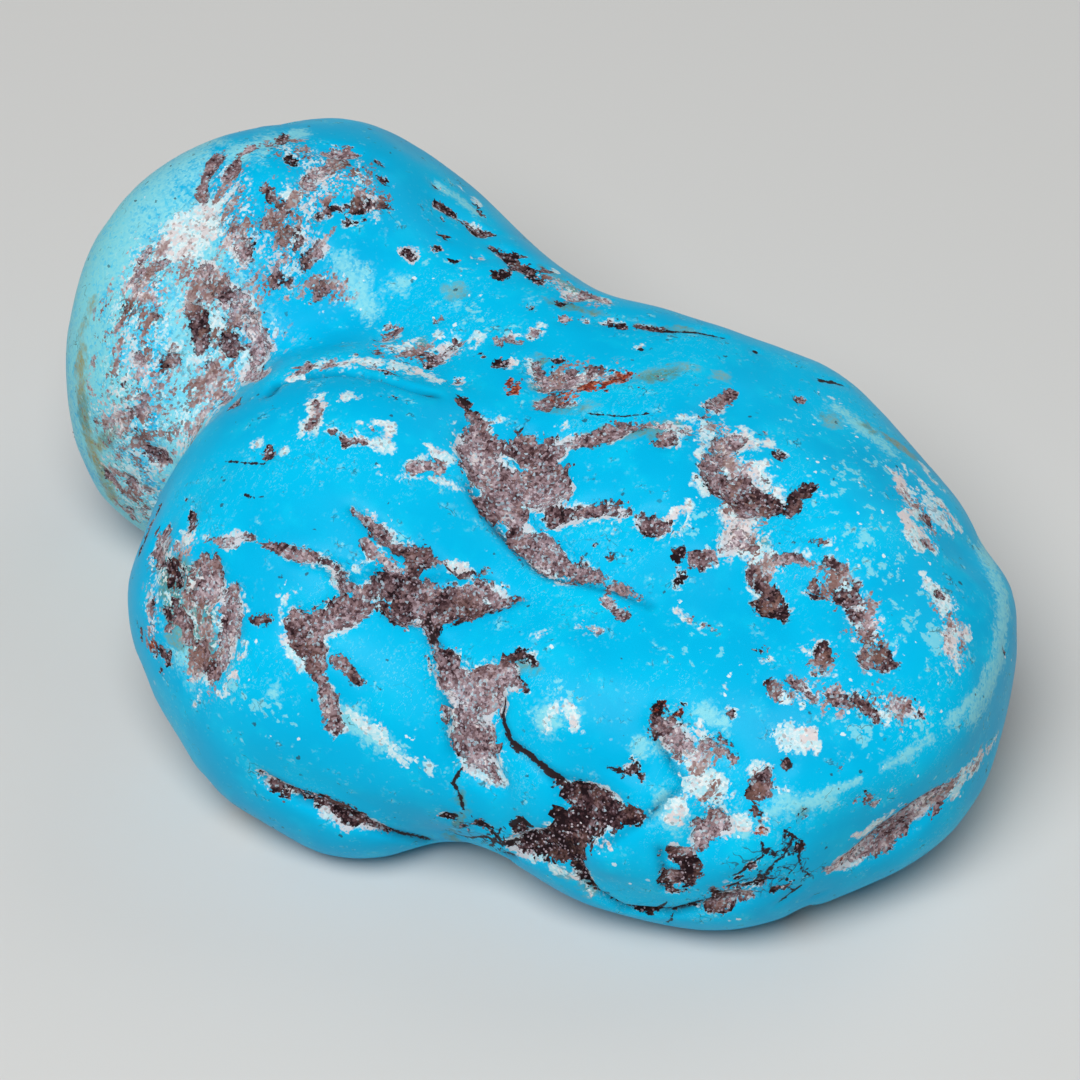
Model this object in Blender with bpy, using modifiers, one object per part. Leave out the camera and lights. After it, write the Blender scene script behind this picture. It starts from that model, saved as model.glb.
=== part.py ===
# Raw turquoise nugget: one tumbled stone, a broad lobed front with a heel standing up behind it.
# Run with: blender --background --python part.py
from collections import namedtuple
from math import pi, radians

import bmesh
import bpy
import numpy as np
from mathutils import Euler, Matrix

# Driving dimensions. Places and sizes of the forms are in millimetres, with +X towards the nose and
# +Z up; the finished stone is then set to STONE_LENGTH along X.
MM = 0.001
STONE_LENGTH = 63.0 * MM
REST_LEVEL = 1.1  # height of the worn resting face
REST_BLEND = 1.2  # width over which the sides round into it
GRAIN = 1.31  # width of one quad of the skin

# How the skin is drawn onto the forms
ROUGH_ROUNDS = 14  # rounds on the lumps alone
FINE_ROUNDS = 16  # rounds with the folds and waves
LAST_ROUNDS = 3  # rounds of the fine ones that only settle
RELAX = 0.6
LONGEST_STEP = 2.0
PROBE = 0.02

STONE_NAME = "turquoise_nugget"
STONE_COLOUR = (0.005, 0.52, 0.80, 1.0)
STONE_ROUGHNESS = 0.28

# A lump is a squarish ellipsoid: its angles turn about Z, lean about Y and roll about X, in degrees,
# and blend is the width over which it flows into the lumps before it.
Lump = namedtuple("Lump", "centre half_axes angles squareness blend")
LUMPS = {
    "plateau": Lump((4.5, 1.0, 11.3), (17.5, 14.0, 10.9), (-4, 0, 6), 2.3, 0.0),
    "nose": Lump((17.6, 1.6, 9.8), (12.1, 12.6, 9.7), (25, 0, 0), 2.3, 5.0),
    "brow": Lump((10.0, 6.8, 11.2), (12.0, 11.2, 9.3), (-25, 0, 0), 2.2, 5.0),
    "chin": Lump((17.9, -6.9, 8.6), (10.2, 8.9, 7.7), (35, 6, 14), 2.3, 5.0),
    "shoulder": Lump((-4.2, -11.2, 12.4), (12.2, 13.0, 9.7), (12, 0, 24), 2.2, 4.0),
    "toe": Lump((-0.9, -15.2, 7.4), (9.4, 8.1, 6.9), (0, 0, 20), 2.2, 5.0),
    "belly": Lump((7.0, -10.6, 10.2), (10.0, 8.5, 7.8), (0, 0, 25), 2.2, 6.0),
    "bridge": Lump((-11.0, 4.5, 12.0), (14.5, 9.2, 9.5), (-14, 0, 0), 2.2, 6.0),
    "heel": Lump((-21.7, 1.3, 12.3), (9.6, 13.8, 12.9), (-8, -5, 0), 2.3, 5.0),
}

# A fold follows a path on the stone: a depth above zero sinks it and one below zero swells it.
Fold = namedtuple("Fold", "depth width path")
FOLDS = {
    "stem groove": Fold(
        1.0, 2.0, [(6.5, -15.5, 17.5), (9.0, -17.0, 15.0), (12.0, -18.0, 12.0), (13.5, -18.0, 9.0)]
    ),
    "cleft": Fold(
        0.6, 1.5, [(11.0, -15.5, 16.0), (13.5, -16.0, 14.0), (17.0, -16.0, 12.5), (17.5, -17.0, 10.0)]
    ),
    "cleft pit": Fold(0.5, 1.7, [(15.0, -17.0, 8.0), (17.5, -16.0, 12.0), (19.5, -14.5, 13.0)]),
    "pocket": Fold(0.9, 1.9, [(2.5, -17.0, 19.0), (5.0, -15.5, 18.5), (9.0, -11.5, 19.0)]),
    "pocket run": Fold(0.5, 2.4, [(-4.5, -20.5, 17.5), (0.0, -19.5, 18.0), (3.0, -17.0, 18.5)]),
    "valley": Fold(
        0.9, 3.6, [(5.5, -14.0, 19.0), (8.5, -10.5, 19.5), (17.0, -6.0, 19.0), (25.5, -2.0, 17.5)]
    ),
    "valley edge": Fold(
        0.5, 1.8, [(2.0, -8.5, 21.5), (6.5, -9.0, 20.0), (9.0, -9.5, 19.5), (12.5, -8.5, 19.5)]
    ),
    "central hollow": Fold(
        0.35, 1.6, [(0.5, -6.0, 22.0), (3.5, -6.5, 20.5), (5.5, -8.0, 19.5), (9.0, -8.0, 19.0)]
    ),
    "saddle hollow": Fold(0.7, 3.6, [(1.5, -6.5, 22.0), (6.5, -5.5, 21.0), (11.0, -4.0, 21.0)]),
    "right hollow": Fold(
        0.4, 1.6, [(9.0, 5.5, 22.0), (11.5, 2.0, 22.0), (14.0, 1.0, 21.5), (16.5, 3.0, 21.0)]
    ),
    "nose vein": Fold(
        0.35, 1.5, [(19.0, -2.5, 19.0), (20.5, -0.5, 19.0), (23.5, 0.0, 18.5), (26.5, -1.5, 17.0)]
    ),
    "chin vein": Fold(
        0.45, 1.6, [(19.5, -11.5, 16.0), (22.0, -11.5, 14.5), (23.5, -12.0, 12.0), (23.0, -14.0, 9.5)]
    ),
    "toe sliver": Fold(
        0.8, 1.5, [(0.0, -24.0, 9.0), (4.5, -22.5, 8.0), (7.5, -21.0, 6.5), (9.0, -17.0, 4.0)]
    ),
    "chin ledge": Fold(
        0.7, 1.4, [(16.0, -17.5, 7.5), (19.5, -16.5, 6.5), (22.0, -15.0, 5.5), (27.5, -10.5, 8.5)]
    ),
    "shoulder crease": Fold(0.5, 1.6, [(-11.5, -9.0, 21.5), (-8.0, -7.0, 22.5), (-4.5, -3.5, 22.5)]),
    "crust pits": Fold(0.5, 1.4, [(-7.0, -4.0, 22.0), (-6.0, -3.0, 22.0), (-6.5, -0.5, 21.5)]),
    "shoulder vein": Fold(0.45, 2.0, [(-9.5, -20.5, 16.5), (-6.0, -22.5, 15.5), (-4.0, -23.5, 13.0)]),
    "nose notch": Fold(0.7, 1.8, [(21.5, 14.0, 14.5), (24.0, 7.5, 17.5)]),
    "nose rim": Fold(
        -0.4, 2.0, [(26.0, -9.5, 13.0), (28.5, -5.0, 13.5), (29.5, 0.0, 13.5), (27.0, 8.5, 14.0)]
    ),
    "side flat": Fold(
        0.5, 2.6, [(28.0, -8.5, 8.5), (29.5, -4.5, 9.0), (30.0, -0.5, 10.0), (29.5, 4.0, 11.0)]
    ),
    "heel ridge": Fold(
        -0.6, 2.4, [(-24.0, 2.0, 24.5), (-20.0, -2.5, 24.5), (-17.0, -5.0, 22.5), (-12.0, -8.5, 21.0)]
    ),
    "heel flat": Fold(0.8, 4.0, [(-24.5, -3.0, 24.0), (-20.5, -8.5, 22.5), (-17.5, -10.0, 18.5)]),
    "heel vein": Fold(0.4, 1.6, [(-17.0, -5.0, 22.0), (-17.5, -8.0, 19.5), (-18.5, -10.0, 18.0)]),
    "heel scar": Fold(0.4, 2.0, [(-23.0, -6.5, 22.5), (-22.5, -4.0, 24.0), (-23.5, -2.0, 25.0)]),
    "saddle scar": Fold(0.4, 1.8, [(-15.0, 7.5, 22.5), (-11.5, 8.0, 21.5), (-6.0, 7.0, 21.5)]),
    "brow swell": Fold(-0.5, 3.5, [(15.5, 5.0, 21.0), (21.0, 5.5, 19.0)]),
    "nose swell": Fold(-0.4, 3.0, [(25.5, 5.5, 17.0), (28.0, 1.5, 16.5)]),
    "chin swell": Fold(-0.5, 3.0, [(12.5, -15.0, 16.0), (16.0, -11.5, 16.5), (19.5, -8.0, 17.0)]),
    "shoulder swell": Fold(-0.4, 3.0, [(5.5, -18.5, 15.5), (7.5, -20.0, 11.0)]),
    "back hollow": Fold(0.8, 5.0, [(4.0, 16.0, 13.0), (12.0, 18.0, 10.0)]),
    "back swell": Fold(-0.6, 4.0, [(-8.0, 14.0, 9.0), (0.0, 15.0, 7.0)]),
    "heel hollow": Fold(0.7, 4.0, [(-31.0, 2.0, 10.0), (-28.0, 10.0, 8.0)]),
}
PATH_STEPS = 5

# Shallow unevenness that tumbling leaves all over: (height, wavelength, direction, phase).
WAVES = [
    (0.16, 17.0, (0.9, 0.3, 0.2), 0.4),
    (0.14, 13.0, (-0.4, 0.8, 0.4), 2.1),
    (0.12, 11.0, (0.3, -0.5, 0.8), 4.0),
    (0.10, 9.0, (0.7, 0.6, -0.4), 5.2),
]


def lump_turn(lump):
    turn, lean, roll = (radians(angle) for angle in lump.angles)
    return Euler((roll, lean, turn), "XYZ").to_matrix()


def lump_distance(points, lump):
    axes = np.array(lump_turn(lump))
    half_axes = np.array(lump.half_axes)
    local = np.abs((points - np.array(lump.centre)) @ axes / half_axes)
    reach = np.maximum((local**lump.squareness).sum(1) ** (1 / lump.squareness), 1e-6)
    slope = np.sqrt(((local ** (lump.squareness - 1) / half_axes) ** 2).sum(1))
    return (reach - 1) / np.maximum(slope * reach ** (1 - lump.squareness), 1e-6)


def smooth_least(first, second, blend):
    if blend == 0:
        return np.minimum(first, second)
    overlap = np.maximum(blend - np.abs(first - second), 0) / blend
    return np.minimum(first, second) - overlap**3 * blend / 6


def smooth_path(path):
    # A Catmull-Rom curve through the path's points
    ends = [np.array(point) for point in path]
    knots = [2 * ends[0] - ends[1], *ends, 2 * ends[-1] - ends[-2]]
    curve = []
    for before, start, end, after in zip(knots, knots[1:], knots[2:], knots[3:]):
        for step in np.arange(PATH_STEPS) / PATH_STEPS:
            line = 2 * start + (end - before) * step
            bend = (2 * before - 5 * start + 4 * end - after) * step**2
            twist = (3 * start - before - 3 * end + after) * step**3
            curve.append((line + bend + twist) / 2)
    return np.array([*curve, ends[-1]])


def fold_height(points, fold):
    # A rounded trough or swell along the path, fading out towards both ends
    curve = smooth_path(fold.path)
    height = np.zeros(len(points))
    pieces = len(curve) - 1
    for index, (start, end) in enumerate(zip(curve, curve[1:])):
        run = end - start
        along = np.clip((points - start) @ run / (run @ run), 0, 1)
        gap = ((points - start - along[:, None] * run) ** 2).sum(1)
        fade = np.sqrt(np.sin(pi * (index + along + 0.4) / (pieces + 0.8)))
        height = np.maximum(height, fade * np.exp(-gap / fold.width**2))
    return fold.depth * height


def wave_height(points):
    height = np.zeros(len(points))
    for size, length, direction, phase in WAVES:
        heading = np.array(direction) / np.linalg.norm(direction)
        height += size * np.sin(points @ heading * 2 * pi / length + phase)
    return height


def stone_field(points, fine):
    # Below zero inside the stone and above zero outside, about in millimetres
    field = None
    for lump in LUMPS.values():
        distance = lump_distance(points, lump)
        field = distance if field is None else smooth_least(field, distance, lump.blend)
    if fine:
        field = field + wave_height(points)
        for fold in FOLDS.values():
            field = field + fold_height(points, fold)
    return -smooth_least(-field, points[:, 2] - REST_LEVEL, REST_BLEND)


def settle(points, fine):
    # One Newton step onto the stone's surface
    field = stone_field(points, fine)
    probes = np.eye(3) * PROBE
    slope = np.stack([stone_field(points + probe, fine) - field for probe in probes], 1) / PROBE
    steep = np.maximum(np.linalg.norm(slope, axis=1), 1e-3)
    step = np.clip(field / steep, -LONGEST_STEP, LONGEST_STEP)
    return points - (step / steep)[:, None] * slope, slope


def relax(points, edges, slope):
    # Each point moves towards the middle of its neighbours, along the surface
    total = np.zeros_like(points)
    count = np.zeros(len(points))
    for one, other in ((0, 1), (1, 0)):
        np.add.at(total, edges[:, one], points[edges[:, other]])
        np.add.at(count, edges[:, one], 1)
    move = total / count[:, None] - points
    normal = slope / np.maximum(np.linalg.norm(slope, axis=1), 1e-6)[:, None]
    move -= (move * normal).sum(1)[:, None] * normal
    return points + RELAX * move


def rough_stone():
    # The lumps as plain ellipsoids, remeshed into one skin of even quads about GRAIN wide
    lumps = bmesh.new()
    for lump in LUMPS.values():
        size = Matrix.Diagonal((*lump.half_axes, 1.0))
        place = Matrix.Translation(lump.centre) @ lump_turn(lump).to_4x4() @ size
        bmesh.ops.create_icosphere(lumps, subdivisions=4, radius=1.0, matrix=place)
    mesh = bpy.data.meshes.new("rough_stone")
    lumps.to_mesh(mesh)
    lumps.free()
    rough = bpy.data.objects.new("rough_stone", mesh)
    bpy.context.scene.collection.objects.link(rough)
    remesh = rough.modifiers.new("Skin", "REMESH")
    remesh.mode = "VOXEL"
    remesh.voxel_size = GRAIN
    depsgraph = bpy.context.evaluated_depsgraph_get()
    skin = bpy.data.meshes.new_from_object(rough.evaluated_get(depsgraph))
    bpy.data.objects.remove(rough)
    return skin


def shape_stone(skin):
    points = np.array([vertex.co[:] for vertex in skin.vertices])
    edges = np.array([edge.vertices[:] for edge in skin.edges])
    for step in range(ROUGH_ROUNDS + FINE_ROUNDS):
        fine = step >= ROUGH_ROUNDS
        points, slope = settle(points, fine)
        if step < ROUGH_ROUNDS + FINE_ROUNDS - LAST_ROUNDS:
            points = relax(points, edges, slope)
    return points


def place_stone(points):
    # The origin is on the resting face, under the middle of the stone's box
    low, high = points.min(0), points.max(0)
    scale = STONE_LENGTH / (high[0] - low[0])
    foot = np.array([(low[0] + high[0]) / 2, (low[1] + high[1]) / 2, REST_LEVEL])
    placed = (points - foot) * scale
    on_rest = placed[:, 2] < 0.02 * MM
    placed[on_rest, 2] = 0.0
    return placed


def stone_material():
    material = bpy.data.materials.new("turquoise")
    material.use_nodes = True
    shader = material.node_tree.nodes["Principled BSDF"]
    shader.inputs["Base Color"].default_value = STONE_COLOUR
    shader.inputs["Roughness"].default_value = STONE_ROUGHNESS
    shader.inputs["Metallic"].default_value = 0.0
    return material


def make_nugget(collection):
    mesh = rough_stone()
    mesh.name = STONE_NAME
    for vertex, point in zip(mesh.vertices, place_stone(shape_stone(mesh))):
        vertex.co = point
    mesh.update()
    mesh.shade_smooth()
    mesh.materials.append(stone_material())
    nugget = bpy.data.objects.new(STONE_NAME, mesh)
    collection.objects.link(nugget)
    return nugget


def main():
    for item in list(bpy.data.objects):
        bpy.data.objects.remove(item)
    collection = bpy.data.collections.new("raw_turquoise_nugget")
    bpy.context.scene.collection.children.link(collection)
    make_nugget(collection)


main()
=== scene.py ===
from math import cos, pi, radians, sin

import bmesh
import bpy
import numpy as np
from mathutils import Matrix, Vector, noise
from mathutils.bvhtree import BVHTree


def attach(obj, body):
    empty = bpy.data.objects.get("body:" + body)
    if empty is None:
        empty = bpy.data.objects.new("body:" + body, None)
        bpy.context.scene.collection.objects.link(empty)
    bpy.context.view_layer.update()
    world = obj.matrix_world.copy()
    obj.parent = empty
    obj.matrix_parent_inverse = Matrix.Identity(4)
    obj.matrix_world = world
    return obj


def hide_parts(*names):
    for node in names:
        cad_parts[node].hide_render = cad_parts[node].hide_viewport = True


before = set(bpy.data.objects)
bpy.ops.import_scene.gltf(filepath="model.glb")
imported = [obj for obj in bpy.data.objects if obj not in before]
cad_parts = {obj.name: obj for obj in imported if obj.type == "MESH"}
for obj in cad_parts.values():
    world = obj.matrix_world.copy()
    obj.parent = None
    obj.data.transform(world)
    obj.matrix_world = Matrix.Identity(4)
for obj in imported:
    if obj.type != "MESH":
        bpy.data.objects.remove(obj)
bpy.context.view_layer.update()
mm = 0.001


class Value:
    # a socket that takes part in Python arithmetic
    def __init__(self, shader, socket):
        self.shader = shader
        self.socket = socket

    def __add__(self, other):
        return self.shader.math("ADD", self, other)

    def __sub__(self, other):
        return self.shader.math("SUBTRACT", self, other)

    def __mul__(self, other):
        return self.shader.math("MULTIPLY", self, other)

    def __truediv__(self, other):
        return self.shader.math("DIVIDE", self, other)

    def __rsub__(self, other):
        return self.shader.math("SUBTRACT", other, self)

    def __rtruediv__(self, other):
        return self.shader.math("DIVIDE", other, self)

    def __abs__(self):
        return self.shader.math("ABSOLUTE", self)

    __radd__ = __add__
    __rmul__ = __mul__

    def least(self, other):
        return self.shader.math("MINIMUM", self, other)

    def most(self, other):
        return self.shader.math("MAXIMUM", self, other)

    def fade(self, start, end):
        # 0 at start and 1 at end, eased
        return self.shader.node(
            "ShaderNodeMapRange", {"interpolation_type": "SMOOTHSTEP"},
            {"Value": self, "From Min": start, "From Max": end})


class Nodes:
    def __init__(self, tree):
        self.tree = tree

    def feed(self, socket, value):
        if isinstance(value, Value):
            self.tree.links.new(value.socket, socket)
        else:
            socket.default_value = value

    def node(self, kind, settings=None, inputs=None, output=0):
        made = self.tree.nodes.new(kind)
        for name, value in (settings or {}).items():
            if name == "stops":
                self.setStops(made.color_ramp, value)
            else:
                setattr(made, name, value)
        for name, value in (inputs or {}).items():
            self.feed(made.inputs[name], value)
        if output is None:  # all outputs, by name
            return {socket.name: Value(self, socket) for socket in made.outputs}
        return Value(self, made.outputs[output])

    def setStops(self, ramp, stops):
        while len(ramp.elements) < len(stops):
            ramp.elements.new(1.0)
        for element, (position, colour) in zip(ramp.elements, stops):
            element.position = position
            element.color = colour

    def math(self, operation, *values):
        return self.node("ShaderNodeMath", {"operation": operation}, dict(enumerate(values)))

    def vector(self, operation, first, second=(0, 0, 0), scale=1.0, output="Vector"):
        inputs = {0: first, "Scale": scale} if operation == "SCALE" else {0: first, 1: second}
        return self.node("ShaderNodeVectorMath", {"operation": operation}, inputs, output=output)

    def mix(self, factor, first, second):
        settings = {"data_type": "RGBA", "clamp_factor": True}
        return self.node("ShaderNodeMix", settings, {0: factor, 6: first, 7: second}, output=2)

    def noise(self, place, size, detail=2.0, rough=0.5, output="Fac"):
        # size is the width of one patch, in the unit of place
        return self.node("ShaderNodeTexNoise", {}, {
            "Vector": place, "Scale": 1 / size, "Detail": detail, "Roughness": rough}, output=output)

    def noiseColour(self, place, size):
        return self.vector("SUBTRACT", self.noise(place, size, output="Color"), (0.5, 0.5, 0.5))

    def chips(self, place, size):
        # one random number for each angular chip
        colour = self.node("ShaderNodeTexVoronoi", {}, {"Vector": place, "Scale": 1 / size}, output="Color")
        return self.vector("DOT_PRODUCT", colour, (1, 0, 0), output="Value")

    def cells(self, place, size):
        # three random numbers for each small cell
        cells = self.node("ShaderNodeTexVoronoi", {}, {"Vector": place, "Scale": 1 / size}, output="Color")
        parts = self.node("ShaderNodeSeparateColor", {}, {"Color": cells}, output=None)
        return parts["Red"], parts["Green"], parts["Blue"]

    def ramp(self, place, stops):
        return self.node("ShaderNodeValToRGB", {"stops": stops}, {"Fac": place}, output="Color")


class Shader(Nodes):
    def __init__(self, name):
        self.material = bpy.data.materials.new(name)
        self.material.use_nodes = True
        super().__init__(self.material.node_tree)
        self.principled = self.tree.nodes["Principled BSDF"]

    def attribute(self, name, output="Fac"):
        return self.node("ShaderNodeAttribute", {"attribute_name": name}, output=output)

    def set(self, **inputs):
        for name, value in inputs.items():
            self.feed(self.principled.inputs[name], value)


class Growth(Nodes):
    # a Geometry Nodes tree with named inputs
    def __init__(self, name, sizes):
        super().__init__(bpy.data.node_groups.new(name, "GeometryNodeTree"))
        self.tree.interface.new_socket("Geometry", in_out="OUTPUT", socket_type="NodeSocketGeometry")
        self.tree.interface.new_socket("Geometry", in_out="INPUT", socket_type="NodeSocketGeometry")
        for size, value in sizes.items():
            kind = "NodeSocketInt" if isinstance(value, int) else "NodeSocketFloat"
            self.tree.interface.new_socket(size, in_out="INPUT", socket_type=kind)
        self.sizes = sizes
        self.inputs = self.node("NodeGroupInput", output=None)

    def attribute(self, name):
        return self.node(
            "GeometryNodeInputNamedAttribute", {"data_type": "FLOAT"}, {"Name": name}, output="Attribute")

    def grow(self, piece, result):
        # the tree's result as a plain mesh
        self.node("NodeGroupOutput", {}, {"Geometry": result}, output=None)
        modifier = piece.modifiers.new(self.tree.name, "NODES")
        modifier.node_group = self.tree
        for item in self.tree.interface.items_tree:
            if item.in_out == "INPUT" and item.name in self.sizes:
                modifier[item.identifier] = self.sizes[item.name]
        depsgraph = bpy.context.evaluated_depsgraph_get()
        piece.data = bpy.data.meshes.new_from_object(piece.evaluated_get(depsgraph))
        piece.modifiers.clear()


def tint(red, green, blue):
    # a display colour of 0 to 255 as the linear colour that nodes take
    shares = [part / 255 for part in (red, green, blue)]
    return (*(part / 12.92 if part < 0.04045 else ((part + 0.055) / 1.055) ** 2.4 for part in shares), 1.0)


view = {
    "turn": radians(42),  # from +Y, towards -X
    "down": radians(42),
    "target": Vector((0.82, 3.21, 9.04)) * mm,
    "distance": 304.6 * mm,
    "width": 62.94 * mm,  # seen across the frame at the target
    "sensor": 36.0,
    "nearest": 0.01,  # m, where the camera's sight starts
    "pixels": 1080,  # the frame in which the markings' places are given
}


def makeCamera():
    turn, down = view["turn"], view["down"]
    look = Vector((-sin(turn) * cos(down), cos(turn) * cos(down), -sin(down)))
    right = Vector((cos(turn), sin(turn), 0))
    up = right.cross(look)
    data = bpy.data.cameras.new("camera")
    data.sensor_width = view["sensor"]
    data.lens = view["sensor"] * view["distance"] / view["width"]
    data.clip_start = view["nearest"]
    camera = bpy.data.objects.new("camera", data)
    axes = Matrix((right, up, -look)).transposed().to_4x4()
    camera.matrix_world = Matrix.Translation(view["target"] - look * view["distance"]) @ axes
    bpy.context.scene.collection.objects.link(camera)
    bpy.context.scene.camera = camera
    return look, right, up


look, right, up = makeCamera()
print("camera ready")


stone = {
    "merge": 0.002 * mm,  # corners of the solid's triangles that are this close become one
    "quadAngle": radians(60),  # up to which two triangles become a quad
    "levels": 2,  # subdivision of those quads
    "rockSink": 0.18 * mm,  # the softer host rock is worn below the blue stone
    "rockEdge": 0.35,  # mm over which the rock drops to its depth
    "wideMark": 0.6,  # mm radius of a mark that is worn to that depth
    "shoulder": 1.0,  # mm over which the blue rolls down to the rock
    "shoulderSink": 0.18 * mm,
    "roughRate": 1.6,  # the worn rock's unevenness, per mm and as a share of its depth
    "roughShare": 0.7,
    "foldReach": 2.0,  # mm around a fold in which its distance is kept
    "foldWidth": 0.85,  # mm from the bottom of a fold to its edge
    "foldDepth": 1.7 * mm,  # for a mark of 1 mm radius
    "foldFull": 0.2,  # mm radius from which a fold is shaded in full
    "waveRate": 0.23,  # shallow dimples all over, per mm
    "waveSink": 0.22 * mm,
    "veinEdge": 0.35,  # mm over which the blue drops to a vein
    "veinSink": 0.12 * mm,
    "farAway": 9.0,  # distance in mm that stands for no marking near
}


def makeSkin():
    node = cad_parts["turquoise_nugget"]
    work = bmesh.new()
    work.from_mesh(node.data)
    bmesh.ops.remove_doubles(work, verts=work.verts[:], dist=stone["merge"])
    angle = stone["quadAngle"]
    bmesh.ops.join_triangles(
        work, faces=work.faces[:], angle_face_threshold=angle, angle_shape_threshold=angle)
    mesh = bpy.data.meshes.new("nuggetStone")
    work.to_mesh(mesh)
    work.free()
    skin = bpy.data.objects.new("nuggetStone", mesh)
    bpy.context.scene.collection.objects.link(skin)
    smooth = skin.modifiers.new("Smooth", "SUBSURF")
    smooth.levels = smooth.render_levels = stone["levels"]
    depsgraph = bpy.context.evaluated_depsgraph_get()
    skin.data = bpy.data.meshes.new_from_object(skin.evaluated_get(depsgraph))
    skin.modifiers.clear()
    skin.data.shade_smooth()
    return skin


def vertexArray(mesh, kind):
    values = np.empty(len(mesh.vertices) * 3)
    mesh.vertices.foreach_get(kind, values)
    return values.reshape(-1, 3)


skin = makeSkin()
surface = BVHTree.FromObject(skin, bpy.context.evaluated_depsgraph_get())
places = vertexArray(skin.data, "co") / mm
normals = vertexArray(skin.data, "normal")
print("skin has", len(skin.data.polygons), "faces")


# markings on the side that the camera sees: (x, y, radius) along each path, in frame pixels
# the tone of the host rock runs from 0, nearly black, to 1, pale pink

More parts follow.
